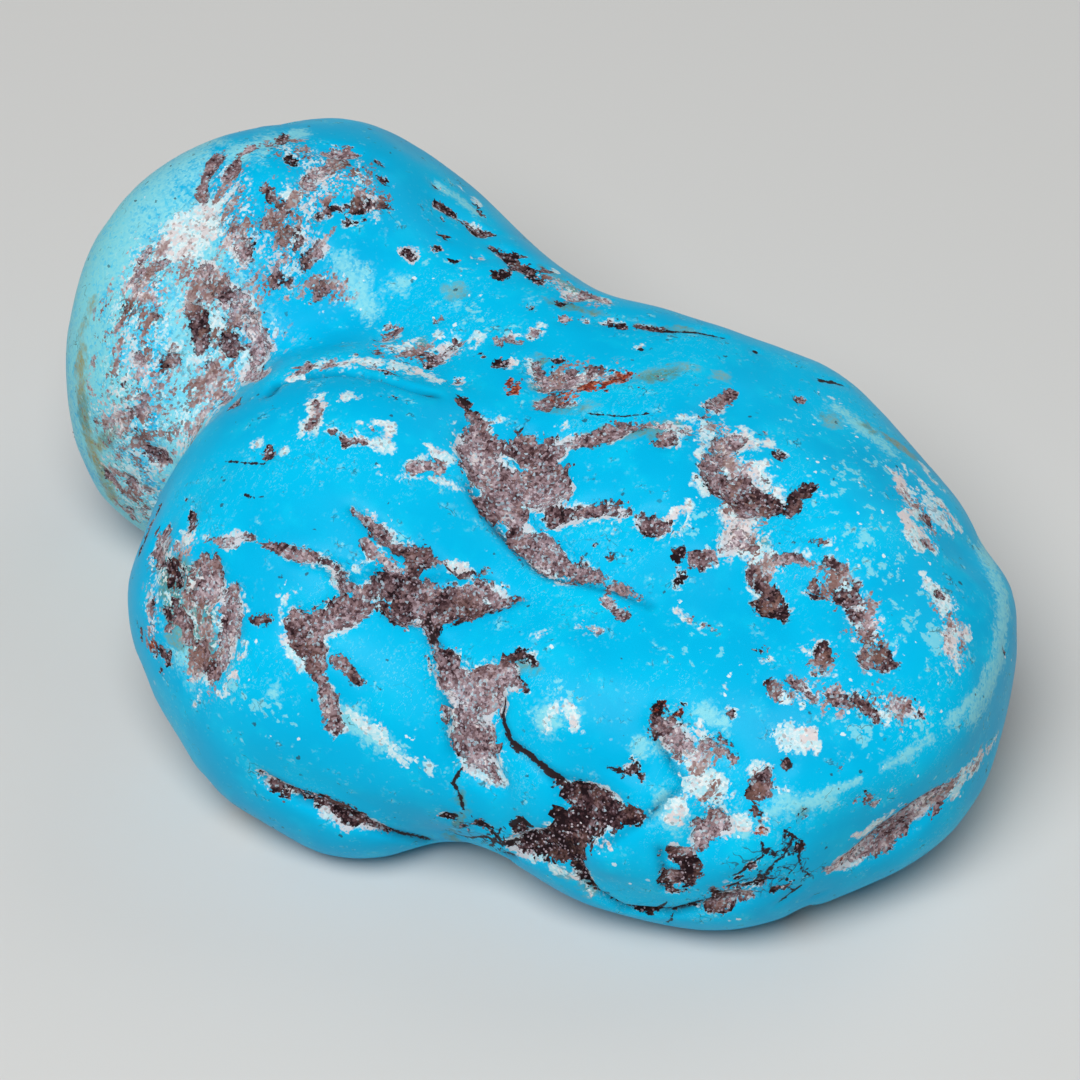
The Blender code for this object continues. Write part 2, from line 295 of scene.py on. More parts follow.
rockMarks = {
    "central": {"tone": 0.55, "paths": [
        [(459, 400, 2), (470, 412, 4), (480, 425, 13), (478, 442, 20), (484, 460, 18), (490, 476, 16),
         (510, 486, 20), (535, 488, 20), (556, 484, 12), (566, 490, 6)],
        [(528, 436, 11), (528, 445, 16), (540, 462, 20), (545, 478, 20)],
        [(552, 452, 12), (562, 443, 9), (575, 441, 6), (590, 439, 5), (604, 434, 7), (619, 429, 9),
         (636, 423, 7), (649, 424, 4)], [(667, 432, 5), (667, 441, 7)],
        [(500, 498, 14), (510, 512, 14), (521, 530, 12), (534, 544, 13), (550, 556, 14), (567, 565, 12),
         (582, 569, 8), (600, 577, 5), (618, 585, 4), (642, 597, 2)],
        [(479, 498, 2), (489, 511, 4), (498, 521, 4), (510, 538, 2)],
        [(521, 547, 3), (534, 567, 3), (548, 572, 2)], [(604, 596, 3), (612, 606, 4), (624, 616, 3)]]},
    "centralPale": {"tone": 0.85, "paths": [
        [(417, 468, 5), (430, 462, 6), (440, 468, 5)], [(649, 424, 4), (667, 424, 7)], [(690, 426, 8)],
        [(691, 618, 4)], [(367, 542, 3), (383, 560, 4), (397, 570, 3)], [(577, 625, 4), (600, 629, 3)]]},
    "secondBand": {"tone": 0.35, "paths": [
        [(557, 519, 8), (572, 514, 8), (590, 510, 9), (608, 508, 9), (624, 511, 7), (634, 515, 3)],
        [(644, 521, 8), (654, 524, 11), (664, 527, 7)]]},
    "dots": {"tone": 0.15, "paths": [
        [(615, 530, 4)], [(611, 556, 4)], [(683, 574, 4), (676, 584, 3)], [(678, 553, 4)], [(596, 544, 3)],
        [(470, 410, 3)], [(781, 454, 4)], [(410, 254, 5)], [(437, 247, 4)], [(447, 236, 4)],
        [(479, 256, 5)], [(453, 259, 3)], [(502, 275, 5)], [(532, 305, 4)], [(448, 817, 5)],
        [(448, 833, 4)], [(466, 827, 3)], [(480, 826, 5)], [(490, 832, 4), (496, 838, 3)], [(395, 396, 3)],
        [(402, 403, 2)], [(481, 355, 3)], [(424, 364, 3), (427, 368, 2)], [(515, 521, 0)]]},
    "saddleLine": {"tone": 0.25, "paths": [
        [(458, 380, 6)], [(502, 362, 5)], [(586, 319, 4)], [(605, 320, 5)], [(622, 324, 4)],
        [(532, 306, 4)], [(640, 323, 4), (652, 325, 4), (668, 328, 3)], [(462, 399, 2), (466, 408, 2)],
        [(481, 356, 3)], [(557, 360, 4)], [(567, 405, 4)]]},
    "rightCluster": {"tone": 0.5, "paths": [
        [(731, 391, 4), (722, 400, 6), (710, 410, 6), (703, 416, 3)], [(691, 426, 7)], [(669, 438, 6)],
        [(712, 478, 6), (726, 487, 11), (743, 487, 13), (755, 492, 14), (763, 504, 10)], [(748, 507, 10)],
        [(766, 481, 6)], [(765, 432, 3)], [(800, 399, 4)], [(694, 560, 7)]]},
    "rightClusterPale": {"tone": 0.72, "paths": [
        [(736, 438, 8), (726, 445, 10), (719, 455, 9), (710, 463, 7), (714, 476, 7)], [(669, 423, 7)],
        [(740, 537, 10), (724, 547, 7), (716, 555, 5)],
        [(763, 568, 3), (777, 562, 4), (791, 557, 4), (806, 561, 3), (818, 563, 2)]]},
    "rightLump": {"tone": 0.35, "paths": [
        [(807, 487, 6), (798, 496, 7), (791, 510, 5)]]},
    "rightChain": {"tone": 0.36, "paths": [
        [(828, 560, 6), (843, 568, 4)], [(820, 538, 5)], [(755, 574, 6), (764, 584, 7), (771, 592, 5)],
        [(765, 606, 7), (778, 606, 8), (784, 617, 4)], [(813, 587, 7), (824, 594, 3)],
        [(836, 596, 5), (854, 598, 7)], [(857, 583, 5)],
        [(851, 616, 4), (862, 618, 9), (867, 630, 7), (868, 640, 5)], [(863, 651, 6), (868, 663, 5)],
        [(883, 649, 6), (887, 664, 6), (896, 667, 3)], [(880, 672, 3)], [(820, 650, 7), (823, 664, 5)],
        [(763, 649, 4), (768, 656, 3)]]},
    "rightSmall": {"tone": 0.45, "paths": [
        [(790, 676, 4), (801, 686, 6), (812, 697, 6), (820, 703, 2)], [(771, 684, 4), (776, 696, 4)],
        [(833, 695, 3), (841, 701, 4), (849, 706, 3)], [(822, 668, 6)], [(884, 668, 5)],
        [(857, 696, 4), (866, 706, 5), (878, 718, 4)], [(902, 704, 7), (914, 713, 5), (927, 719, 2)],
        [(826, 723, 3), (836, 727, 3)], [(861, 798, 3), (872, 800, 3)], [(785, 764, 3)], [(841, 767, 3)],
        [(706, 624, 2), (716, 629, 1)], [(806, 818, 4)], [(729, 711, 3)]]},
    "noseMarks": {"tone": 0.62, "paths": [
        [(910, 498, 4)], [(926, 516, 5), (932, 524, 4)], [(929, 543, 5)], [(941, 592, 4)], [(961, 669, 3)],
        [(1005, 649, 3)]]},
    "pocket": {"tone": 0.45, "paths": [
        [(360, 597, 9), (372, 592, 10), (383, 585, 14), (400, 596, 18), (415, 602, 20), (435, 600, 20),
         (452, 596, 19), (470, 594, 16), (484, 591, 14), (500, 597, 8), (512, 599, 4), (523, 597, 2)]]},
    "pocketPit": {"tone": 0.12, "paths": [
        [(406, 606, 8), (420, 610, 8), (436, 606, 7)], [(425, 618, 8), (429, 628, 7), (432, 640, 5)]]},
    "pocketFeed": {"tone": 0.5, "paths": [
        [(205, 537, 6), (224, 540, 6), (240, 536, 7), (250, 536, 6), (261, 541, 2), (274, 547, 2),
         (288, 552, 4), (300, 554, 5), (311, 558, 5), (326, 562, 6), (336, 568, 6), (343, 577, 8),
         (352, 587, 10), (362, 592, 10)]]},
    "hook": {"tone": 0.5, "paths": [
        [(360, 600, 11), (348, 609, 12), (332, 617, 11), (318, 624, 12), (306, 629, 14), (296, 620, 10),
         (293, 608, 4)], [(312, 640, 9), (320, 652, 6), (318, 664, 6)],
        [(319, 678, 3), (326, 690, 6), (328, 702, 8), (330, 714, 8), (338, 727, 7)],
        [(330, 658, 4), (341, 660, 4), (350, 671, 2), (360, 680, 4)]]},
    "hookLink": {"tone": 0.25, "paths": [
        [(247, 618, 3), (261, 619, 5), (273, 618, 2)], [(190, 514, 6), (192, 525, 4)]]},
    "lens": {"tone": 0.5, "paths": [
        [(353, 509, 2), (364, 516, 4), (374, 524, 5), (386, 537, 5), (398, 546, 5), (410, 552, 6),
         (428, 560, 6), (441, 562, 3)]]},
    "toeSliver": {"tone": 0.22, "paths": [
        [(261, 776, 4), (272, 787, 6), (285, 793, 6), (297, 797, 7), (312, 803, 8), (325, 808, 9),
         (343, 817, 10), (356, 821, 8), (370, 827, 6), (389, 834, 3)]]},
    "endSand": {"tone": 0.64, "paths": [
        [(166, 536, 5), (160, 552, 6)], [(178, 546, 5)], [(176, 606, 5), (180, 622, 6), (186, 640, 6)],
        [(168, 628, 4)], [(148, 598, 3), (150, 612, 3)], [(160, 650, 3), (166, 662, 4)],
        [(200, 650, 7), (198, 668, 6), (190, 684, 4)]]},
    "endFace": {"tone": 0.55, "paths": [
        [(164, 530, 8), (154, 544, 8), (157, 562, 7)],
        [(200, 560, 11), (204, 572, 17), (211, 586, 14), (192, 594, 8)],
        [(231, 590, 7), (230, 608, 11), (227, 630, 13), (220, 650, 13), (212, 670, 9), (206, 680, 5)],
        [(165, 615, 5)], [(152, 650, 5)], [(140, 630, 4)], [(189, 657, 4)], [(177, 650, 3)],
        [(160, 670, 3)], [(145, 587, 3)]]},
    "endFaceLine": {"tone": 0.2, "paths": [
        [(190, 506, 4), (191, 518, 5), (188, 528, 4)],
        [(157, 507, 3), (148, 524, 3), (144, 534, 3), (138, 552, 3)],
        [(172, 564, 5), (175, 574, 8), (180, 584, 5)], [(151, 602, 4)], [(167, 654, 4)], [(185, 499, 3)]]},
    "stem": {"tone": 0.55, "paths": [
        [(431, 640, 3), (438, 650, 7), (447, 668, 12), (462, 690, 20), (478, 700, 22), (472, 722, 22),
         (471, 745, 20), (476, 762, 18), (492, 780, 11), (500, 785, 8)],
        [(478, 690, 18), (492, 676, 14), (505, 670, 12), (512, 682, 8)]]},
    "stemCore": {"tone": 0.1, "paths": [
        [(446, 655, 5), (451, 672, 6), (457, 692, 6)],
        [(508, 660, 4), (519, 655, 5), (530, 655, 5), (535, 664, 3)],
        [(516, 676, 4), (522, 684, 3), (528, 690, 2)]]},
    "cleftPatch": {"tone": 0.12, "paths": [
        [(560, 784, 5), (572, 796, 13), (590, 806, 18), (608, 811, 15), (624, 816, 10), (645, 818, 3)],
        [(586, 816, 20), (570, 832, 20), (560, 844, 16), (545, 846, 16), (530, 846, 14), (516, 850, 8)],
        [(572, 852, 12), (576, 864, 7)], [(519, 833, 5), (521, 822, 4)]]},
    "ledge": {"tone": 0.05, "paths": [
        [(576, 864, 7), (583, 880, 5), (592, 893, 5), (606, 903, 4), (622, 909, 4), (650, 913, 3),
         (674, 913, 2.5), (700, 905, 2), (735, 900, 2)], [(712, 892, 4), (722, 899, 5), (735, 895, 4)],
        [(704, 908, 4), (714, 915, 4)], [(746, 888, 4)], [(663, 925, 2), (675, 932, 2)]]},
    "chinChain": {"tone": 0.64, "paths": [
        [(658, 724, 7), (668, 722, 10), (678, 736, 11), (688, 750, 9)], [(699, 748, 6), (710, 744, 4)],
        [(718, 746, 5), (729, 756, 5), (735, 765, 3)], [(717, 821, 11), (704, 828, 9), (699, 842, 7)],
        [(688, 853, 5)], [(766, 776, 5), (761, 789, 8), (770, 794, 4)], [(763, 832, 5)], [(676, 880, 10)],
        [(708, 908, 6), (730, 901, 8), (750, 897, 5)]]},
    "chinDark": {"tone": 0.2, "paths": [
        [(662, 712, 5), (676, 712, 5), (684, 722, 3)], [(656, 735, 3)],
        [(677, 857, 8), (690, 864, 5), (692, 880, 4), (684, 893, 3), (668, 891, 4), (664, 874, 3)],
        [(621, 770, 4), (634, 770, 8)], [(640, 780, 4)], [(753, 794, 4)], [(755, 808, 3), (760, 822, 3)],
        [(663, 859, 2)], [(720, 912, 3), (742, 904, 2)], [(759, 886, 5)], [(760, 858, 3), (752, 868, 3)],
        [(786, 836, 3)], [(774, 862, 3)], [(800, 850, 3)], [(788, 878, 3)], [(738, 880, 3)],
        [(776, 892, 3), (790, 888, 2)], [(812, 874, 2)]]},
    "sideLens": {"tone": 0.72, "paths": [
        [(822, 872, 1), (838, 866, 5), (856, 857, 10), (872, 848, 14), (888, 838, 17), (904, 826, 18),
         (920, 812, 15), (934, 800, 11), (946, 790, 6)], [(860, 799, 4)], [(876, 805, 4)]]},
    "heelPink": {"tone": 0.7, "paths": [
        [(222, 150, 3), (214, 162, 5), (207, 172, 5), (200, 188, 6)],
        [(250, 147, 3), (240, 157, 5), (232, 170, 5), (226, 180, 3)],
        [(165, 264, 5), (150, 268, 4), (138, 274, 6), (132, 288, 5)], [(150, 250, 4), (142, 258, 5)],
        [(235, 232, 5), (238, 246, 7), (243, 258, 5)], [(187, 306, 6)], [(242, 298, 9), (236, 316, 8)],
        [(252, 316, 7), (254, 336, 8), (257, 354, 11), (250, 372, 8), (262, 374, 7)],
        [(222, 395, 5), (232, 400, 4), (238, 404, 5)], [(142, 412, 6)],
        [(317, 151, 5), (335, 151, 10), (354, 153, 6)], [(331, 162, 6), (322, 171, 8), (308, 183, 7)]]},
    "heelBrown": {"tone": 0.54, "paths": [
        [(205, 268, 6), (202, 286, 5)], [(222, 288, 6), (222, 300, 8)],
        [(197, 304, 5), (196, 320, 8), (198, 338, 7), (197, 350, 5)], [(231, 346, 9)], [(212, 367, 5)],
        [(172, 363, 8), (180, 358, 4)], [(137, 360, 5), (130, 364, 4)], [(125, 370, 3)], [(102, 397, 2)],
        [(110, 414, 3)], [(128, 414, 5), (120, 420, 5), (104, 428, 4)], [(144, 398, 3)], [(125, 385, 3)],
        [(137, 388, 2)], [(95, 421, 2)], [(137, 440, 6)], [(146, 450, 7), (156, 458, 10), (168, 462, 5)],
        [(108, 478, 8), (116, 486, 5)], [(132, 485, 8)], [(150, 494, 6)], [(130, 510, 4), (132, 520, 2)],
        [(265, 145, 4), (278, 141, 4), (288, 134, 4)], [(265, 187, 4)], [(270, 197, 3)], [(202, 196, 5)],
        [(268, 224, 6), (277, 215, 5), (286, 208, 4)], [(282, 242, 5), (290, 232, 6), (298, 226, 5)],
        [(301, 238, 6), (296, 247, 4)], [(280, 262, 3), (277, 272, 4), (274, 281, 3)],
        [(322, 247, 6), (310, 263, 7)], [(324, 288, 5), (313, 297, 4)], [(290, 284, 4)], [(157, 317, 4)],
        [(177, 326, 3)]]},
    "heelDark": {"tone": 0.2, "paths": [
        [(319, 215, 5), (335, 206, 5), (356, 206, 7), (377, 203, 6), (391, 207, 2)],
        [(345, 224, 4), (365, 219, 3)], [(349, 162, 4)], [(381, 162, 4)], [(384, 180, 4)], [(411, 256, 5)],
        [(385, 183, 3)], [(127, 307, 3)], [(250, 240, 1.5), (251, 256, 3), (250, 270, 2)],
        [(247, 300, 2), (245, 312, 4)], [(168, 366, 4)], [(294, 160, 4)], [(109, 480, 4)],
        [(262, 352, 2), (262, 368, 2)]]},
    "saddle": {"tone": 0.22, "paths": [
        [(462, 219, 3), (472, 224, 6), (480, 231, 8), (492, 232, 4)], [(437, 185, 5)],
        [(437, 204, 5), (456, 215, 5)],
        [(492, 247, 4), (507, 252, 9), (520, 265, 9), (532, 272, 6), (542, 285, 3)], [(481, 256, 5)],
        [(488, 222, 3), (476, 206, 2)], [(560, 300, 4)], [(442, 220, 2)]]},
    "saddleGrain": {"tone": 0.6, "paths": [
        [(535, 362, 7), (546, 380, 9)], [(548, 384, 9), (566, 380, 10), (580, 374, 10), (596, 370, 6)],
        [(540, 404, 4), (556, 402, 6), (572, 402, 6)], [(605, 372, 6), (626, 376, 6)], [(660, 378, 3)]]},
    "saddleBand": {"tone": 0.72, "paths": [
        [(565, 282, 5)], [(573, 296, 8), (590, 294, 6), (606, 300, 5)], [(546, 270, 4)], [(520, 339, 4)],
        [(561, 318, 4)], [(495, 341, 4)], [(512, 335, 5)], [(532, 331, 4)]]},
    "crust": {"tone": 0.55, "paths": [
        [(287, 371, 4), (308, 365, 5)], [(326, 363, 6), (346, 360, 5)], [(370, 364, 6), (390, 369, 5)],
        [(404, 352, 4)], [(360, 352, 3)], [(420, 352, 4), (430, 345, 4)], [(385, 336, 7), (394, 328, 7)],
        [(378, 350, 6)], [(452, 343, 8), (444, 352, 6), (436, 360, 5)], [(440, 317, 5)]]},
    "crustPits": {"tone": 0.05, "paths": [
        [(417, 371, 4)], [(427, 366, 4)], [(430, 358, 3)], [(400, 374, 3)], [(408, 362, 3)],
        [(384, 372, 3)], [(352, 366, 3)], [(316, 371, 3)]]},
    "shoulderTop": {"tone": 0.5, "paths": [
        [(315, 398, 4), (318, 412, 4), (309, 426, 3)], [(331, 430, 2), (345, 440, 2), (365, 441, 3)],
        [(269, 453, 6)], [(372, 430, 3)]]},
}

rustMarks = [
    [(513, 383, 5), (516, 393, 5)], [(562, 402, 4), (570, 394, 6), (582, 388, 6), (592, 382, 5)],
    [(604, 384, 5), (612, 380, 6)], [(618, 377, 6), (626, 373, 7)], [(636, 386, 3)], [(577, 404, 4)],
    [(549, 371, 2)], [(664, 711, 3), (678, 713, 3)], [(760, 832, 3)], [(846, 861, 2), (858, 852, 2)],
    [(905, 812, 2)], [(152, 648, 3)]]

chalkMarks = [
    [(415, 462, 6), (432, 454, 7), (447, 459, 5)], [(502, 419, 6)], [(455, 430, 6)],
    [(380, 473, 2), (406, 478, 2), (438, 480, 2), (459, 487, 2)], [(458, 387, 3)], [(600, 371, 4)],
    [(513, 362, 6)], [(568, 426, 7)], [(677, 613, 4)], [(704, 625, 3)], [(537, 636, 3), (551, 630, 2)],
    [(576, 625, 5), (603, 629, 4)],
    [(681, 416, 5), (706, 420, 6), (704, 434, 7), (708, 444, 5), (698, 456, 4)],
    [(742, 430, 4), (750, 444, 4)], [(726, 468, 6), (748, 468, 6), (768, 474, 6)],
    [(777, 488, 7), (781, 502, 7)], [(700, 480, 3), (706, 490, 4)], [(730, 514, 10), (742, 526, 10)],
    [(669, 514, 6), (660, 536, 5)], [(771, 442, 3)], [(680, 514, 6), (688, 508, 4)], [(681, 528, 5)],
    [(810, 477, 3)], [(824, 494, 2)], [(832, 398, 4)], [(712, 552, 6), (724, 558, 4)],
    [(748, 552, 5), (760, 555, 6), (772, 554, 4)], [(806, 555, 5)], [(700, 562, 4)], [(828, 540, 4)],
    [(756, 590, 3), (762, 600, 3)], [(782, 600, 3), (788, 610, 2)],
    [(828, 568, 2), (838, 576, 3), (848, 588, 2)], [(851, 638, 3), (858, 644, 3)], [(848, 606, 2)],
    [(880, 656, 3)], [(818, 669, 5), (832, 674, 4)], [(806, 650, 3)], [(770, 657, 5)],
    [(894, 470, 6), (900, 482, 8), (908, 496, 11), (916, 510, 11)],
    [(926, 500, 9), (936, 514, 11), (948, 528, 8)],
    [(910, 470, 5), (922, 484, 6), (936, 498, 6), (950, 514, 6), (960, 530, 4)],
    [(904, 516, 6), (908, 532, 6)], [(912, 528, 7), (916, 544, 7)], [(928, 542, 8)],
    [(922, 465, 3), (934, 481, 3), (945, 490, 3)], [(958, 520, 2), (962, 530, 2)],
    [(932, 582, 7), (942, 594, 11), (946, 610, 6)], [(948, 632, 10), (966, 632, 8)],
    [(951, 650, 6), (958, 666, 8)], [(1005, 649, 4)], [(678, 612, 4), (692, 619, 3)], [(400, 575, 6)],
    [(450, 568, 6), (470, 575, 4)], [(284, 600, 4), (293, 592, 4)],
    [(348, 714, 5), (362, 726, 7), (380, 737, 7)], [(394, 749, 6), (410, 760, 4)], [(360, 682, 5)],
    [(365, 512, 3), (380, 520, 4)], [(359, 567, 8), (378, 551, 5)], [(396, 570, 5)], [(186, 539, 12)],
    [(240, 592, 3), (246, 610, 3)], [(241, 640, 3), (237, 656, 4), (230, 680, 4), (219, 695, 4)],
    [(200, 697, 4), (192, 706, 4)],
    [(300, 590, 1.5), (290, 592, 1.5), (280, 600, 2), (280, 612, 2), (283, 630, 2)],
    [(287, 640, 3), (294, 650, 5), (302, 664, 4)], [(172, 600, 5), (188, 622, 5), (192, 650, 5)],
    [(438, 645, 3), (450, 653, 4), (460, 660, 5), (470, 667, 5), (482, 666, 4), (493, 661, 3)],
    [(466, 767, 5), (473, 778, 4)], [(499, 758, 4), (500, 768, 4)], [(429, 769, 5)], [(443, 735, 3)],
    [(544, 827, 6)], [(604, 845, 5)], [(552, 708, 5), (546, 722, 6)],
    [(568, 704, 3), (573, 716, 5), (576, 728, 4)], [(670, 728, 3)], [(696, 732, 6), (706, 740, 5)],
    [(686, 744, 9), (692, 760, 10), (698, 774, 12), (708, 786, 13), (720, 799, 11)], [(724, 812, 6)],
    [(672, 818, 8), (680, 806, 7)], [(718, 822, 4)], [(752, 770, 5), (766, 772, 7)], [(778, 790, 4)],
    [(763, 822, 5)], [(742, 822, 8)], [(730, 709, 5)], [(724, 689, 6)], [(675, 705, 3)],
    [(772, 690, 5), (784, 700, 4)], [(806, 706, 3)], [(848, 694, 3)], [(868, 712, 5), (880, 716, 4)],
    [(896, 714, 4)], [(778, 728, 6), (784, 734, 9), (794, 740, 11), (806, 737, 9), (816, 739, 4)],
    [(798, 750, 4)], [(824, 730, 3)], [(893, 792, 3)],
    [(955, 788, 8), (970, 770, 9), (985, 754, 8), (996, 737, 4)],
    [(856, 838, 3), (878, 826, 3), (900, 804, 3)],
    [(164, 253, 14), (178, 244, 24), (192, 230, 28), (205, 214, 20)],
    [(252, 284, 1.5), (254, 310, 1.5), (258, 336, 1.5), (264, 356, 1.5)],
    [(248, 240, 1.2), (252, 262, 1.2)], [(175, 348, 8)], [(189, 295, 9)], [(216, 327, 7)], [(248, 280, 5)],
    [(285, 137, 4)], [(294, 194, 6), (303, 192, 4)], [(267, 192, 4)], [(294, 160, 5)], [(248, 180, 3)],
    [(363, 180, 6)], [(313, 281, 8)], [(345, 160, 4)], [(460, 188, 2), (472, 194, 3), (479, 204, 3)],
    [(577, 295, 5)], [(554, 270, 4)], [(515, 334, 6)], [(529, 332, 6), (541, 323, 4)], [(479, 337, 6)],
    [(639, 344, 4)], [(598, 300, 4)],
    [(282, 374, 4), (308, 366, 7), (335, 362, 9), (356, 361, 9), (381, 362, 10), (404, 368, 11),
     (418, 373, 12)], [(430, 376, 5), (438, 382, 3)], [(360, 374, 4), (380, 378, 3)], [(404, 348, 6)],
    [(385, 362, 8)], [(444, 334, 7)], [(467, 348, 5)], [(391, 347, 6)],
    [(315, 396, 8), (319, 414, 7), (308, 428, 7)],
    [(331, 428, 4), (345, 440, 4), (365, 440, 4), (391, 447, 4)], [(340, 396, 4), (358, 396, 4)],
    [(356, 428, 4), (377, 421, 4), (391, 424, 4), (386, 435, 4)], [(255, 447, 4)], [(285, 451, 5)],
    [(552, 867, 3), (562, 871, 3), (575, 880, 3), (585, 890, 3), (592, 899, 2)]]

veinMarks = [
    [(502, 700, 1.5), (500, 716, 2), (504, 728, 2.6), (509, 740, 2.8), (517, 751, 3), (524, 750, 2.4),
     (532, 759, 2.6), (544, 769, 3), (558, 781, 4)], [(429, 612, 2), (431, 628, 2), (433, 640, 2)],
    [(389, 834, 2), (415, 841, 2), (440, 847, 1.5), (466, 850, 1.5), (490, 855, 1.5), (512, 858, 2)],
    [(587, 412, 1.2), (621, 415, 1.2), (649, 412, 1)], [(458, 393, 1.5), (470, 410, 1.5)],
    [(461, 771, 1.5), (453, 783, 1.5), (460, 797, 1.2), (463, 812, 1.2)], [(446, 816, 2), (456, 817, 2.5)],
    [(455, 836, 2), (470, 840, 2), (486, 838, 2), (500, 846, 2.5), (514, 844, 3)],
    [(480, 822, 2), (490, 832, 2), (498, 840, 2)], [(510, 826, 3), (522, 820, 3), (530, 828, 3)],
    [(500, 830, 1.5), (492, 846, 1.5), (478, 852, 1.5)], [(609, 768, 2), (622, 772, 2)],
    [(762, 842, 1.2), (764, 856, 1.2), (755, 863, 1.2), (748, 868, 1.2), (741, 875, 1.2)],
    [(785, 831, 0.9), (793, 837, 1.2), (791, 847, 1.2), (785, 853, 0.9), (771, 850, 1.2), (761, 858, 1.2)],
    [(803, 842, 1.2), (799, 858, 1.2), (803, 872, 0.9), (811, 877, 0.9)],
    [(771, 850, 0.9), (777, 863, 1.2), (769, 871, 0.9)],
    [(761, 874, 1.2), (758, 888, 1.5), (745, 882, 1.2), (734, 888, 1.2)],
    [(785, 869, 0.9), (793, 871, 0.9), (787, 882, 0.9)],
    [(777, 890, 1.2), (787, 888, 1.2), (795, 893, 0.9)],
    [(758, 888, 1.2), (766, 882, 0.9), (777, 863, 0.9)],
    [(700, 905, 1.2), (690, 908, 1.5), (672, 914, 1.8)], [(672, 920, 0.9), (662, 928, 0.9)],
    [(667, 904, 0.9), (654, 912, 1.2)],
    [(790, 835, 0.7), (803, 842, 0.9), (799, 853, 0.7), (787, 856, 0.7)],
    [(769, 872, 0.7), (760, 883, 1.3), (748, 887, 0.9)], [(760, 883, 1.2), (778, 881, 0.9)],
    [(728, 889, 0.9), (740, 887, 1.2)], [(808, 870, 0.7), (801, 890, 0.9), (780, 906, 0.6)],
    [(815, 899, 0.7), (824, 895, 0.6)], [(224, 460, 0.5), (244, 462, 0.7), (263, 463, 0.9)],
    [(245, 494, 0.8), (252, 497, 0.8), (262, 496, 0.8)], [(820, 379, 3), (832, 381, 3), (843, 384, 2)],
    [(641, 347, 3)], [(756, 351, 2.5)], [(665, 328, 2), (701, 332, 2), (724, 337, 1.5)], [(557, 360, 4)],
    [(790, 766, 3)], [(780, 846, 0.7), (787, 856, 0.7), (776, 862, 0.7)],
    [(741, 875, 0.7), (728, 880, 0.6)]]

cloudMarks = [
    [(459, 780, 2), (460, 797, 3), (465, 812, 3), (450, 836, 4), (462, 846, 4)],
    [(505, 676, 6), (520, 662, 6), (536, 668, 4)],
    [(541, 385, 9), (554, 380, 8), (575, 378, 12), (591, 369, 8)], [(536, 362, 11)],
    [(644, 378, 11), (668, 372, 10), (690, 367, 9)], [(541, 403, 8), (587, 408, 8)],
    [(590, 437, 8), (667, 424, 10), (680, 424, 6)], [(830, 420, 10)], [(720, 376, 8)], [(738, 540, 12)],
    [(765, 540, 6)], [(669, 423, 8)], [(863, 425, 4), (883, 434, 5), (906, 451, 5), (918, 462, 4)],
    [(456, 289, 10)], [(545, 268, 6), (575, 292, 12), (606, 300, 8)], [(640, 322, 5), (700, 332, 4)],
    [(541, 298, 3), (587, 311, 3), (632, 318, 3)],
    [(80, 350, 9), (80, 400, 11), (88, 440, 11), (98, 470, 9)], [(90, 302, 6), (78, 336, 6)],
    [(156, 318, 5)], [(345, 345, 5)], [(425, 345, 8)],
    [(158, 556, 14), (186, 580, 20), (196, 620, 24), (200, 660, 18)],
    [(164, 566, 13), (170, 600, 15), (176, 640, 13)],
    [(552, 867, 5), (562, 871, 5), (575, 880, 4), (585, 890, 4), (592, 899, 3)], [(803, 814, 5)],
    [(255, 777, 4)], [(117, 430, 8), (92, 448, 6)], [(98, 462, 9), (106, 480, 12), (112, 500, 8)]]

foldMarks = [
    [(268, 392, 4), (276, 380, 5), (300, 373, 7), (340, 370, 7), (380, 376, 8), (410, 386, 7),
     (436, 394, 3)], [(437, 648, 3), (446, 672, 4), (455, 694, 4)],
    [(505, 664, 3), (501, 690, 3), (500, 716, 3)],
    [(352, 509, 2), (375, 527, 3), (400, 550, 3), (440, 565, 2)], [(430, 612, 3), (431, 640, 3)],
    [(660, 738, 3), (672, 762, 3), (684, 784, 2)], [(598, 846, 3), (620, 836, 2), (646, 818, 2)],
    [(470, 486, 3), (484, 508, 4), (502, 532, 4), (520, 552, 4), (548, 574, 4), (580, 580, 3),
     (620, 592, 3), (650, 606, 2)],
    [(436, 640, 3), (440, 660, 5), (448, 690, 5), (452, 720, 4), (458, 750, 4)],
    [(392, 614, 3), (420, 620, 5), (452, 612, 4), (490, 606, 3), (524, 598, 2)],
    [(356, 512, 2), (376, 530, 3), (400, 552, 3), (436, 564, 2)],
    [(576, 866, 4), (590, 892, 5), (622, 910, 5), (674, 914, 4), (702, 906, 3), (736, 900, 2)],
    [(264, 778, 3), (300, 800, 4), (340, 818, 4), (388, 834, 4), (440, 847, 4), (512, 858, 4)],
    [(500, 716, 2), (510, 742, 3), (532, 759, 3), (560, 783, 4)],
    [(660, 852, 3), (664, 872, 3), (666, 890, 3)], [(288, 556, 2), (326, 563, 3), (350, 584, 4)],
    [(646, 818, 3), (668, 800, 3), (690, 782, 2)]]

bareMarks = [
    [(134, 311, 3), (150, 302, 4), (160, 292, 3)],
    [(263, 286, 3), (265, 310, 5), (268, 340, 4), (274, 362, 2)], [(506, 456, 6)], [(878, 656, 3)],
    [(661, 768, 10)], [(714, 765, 9)], [(620, 862, 22)], [(720, 862, 9)], [(773, 812, 7)], [(865, 858, 2)],
    [(880, 841, 2)], [(907, 818, 2)]]

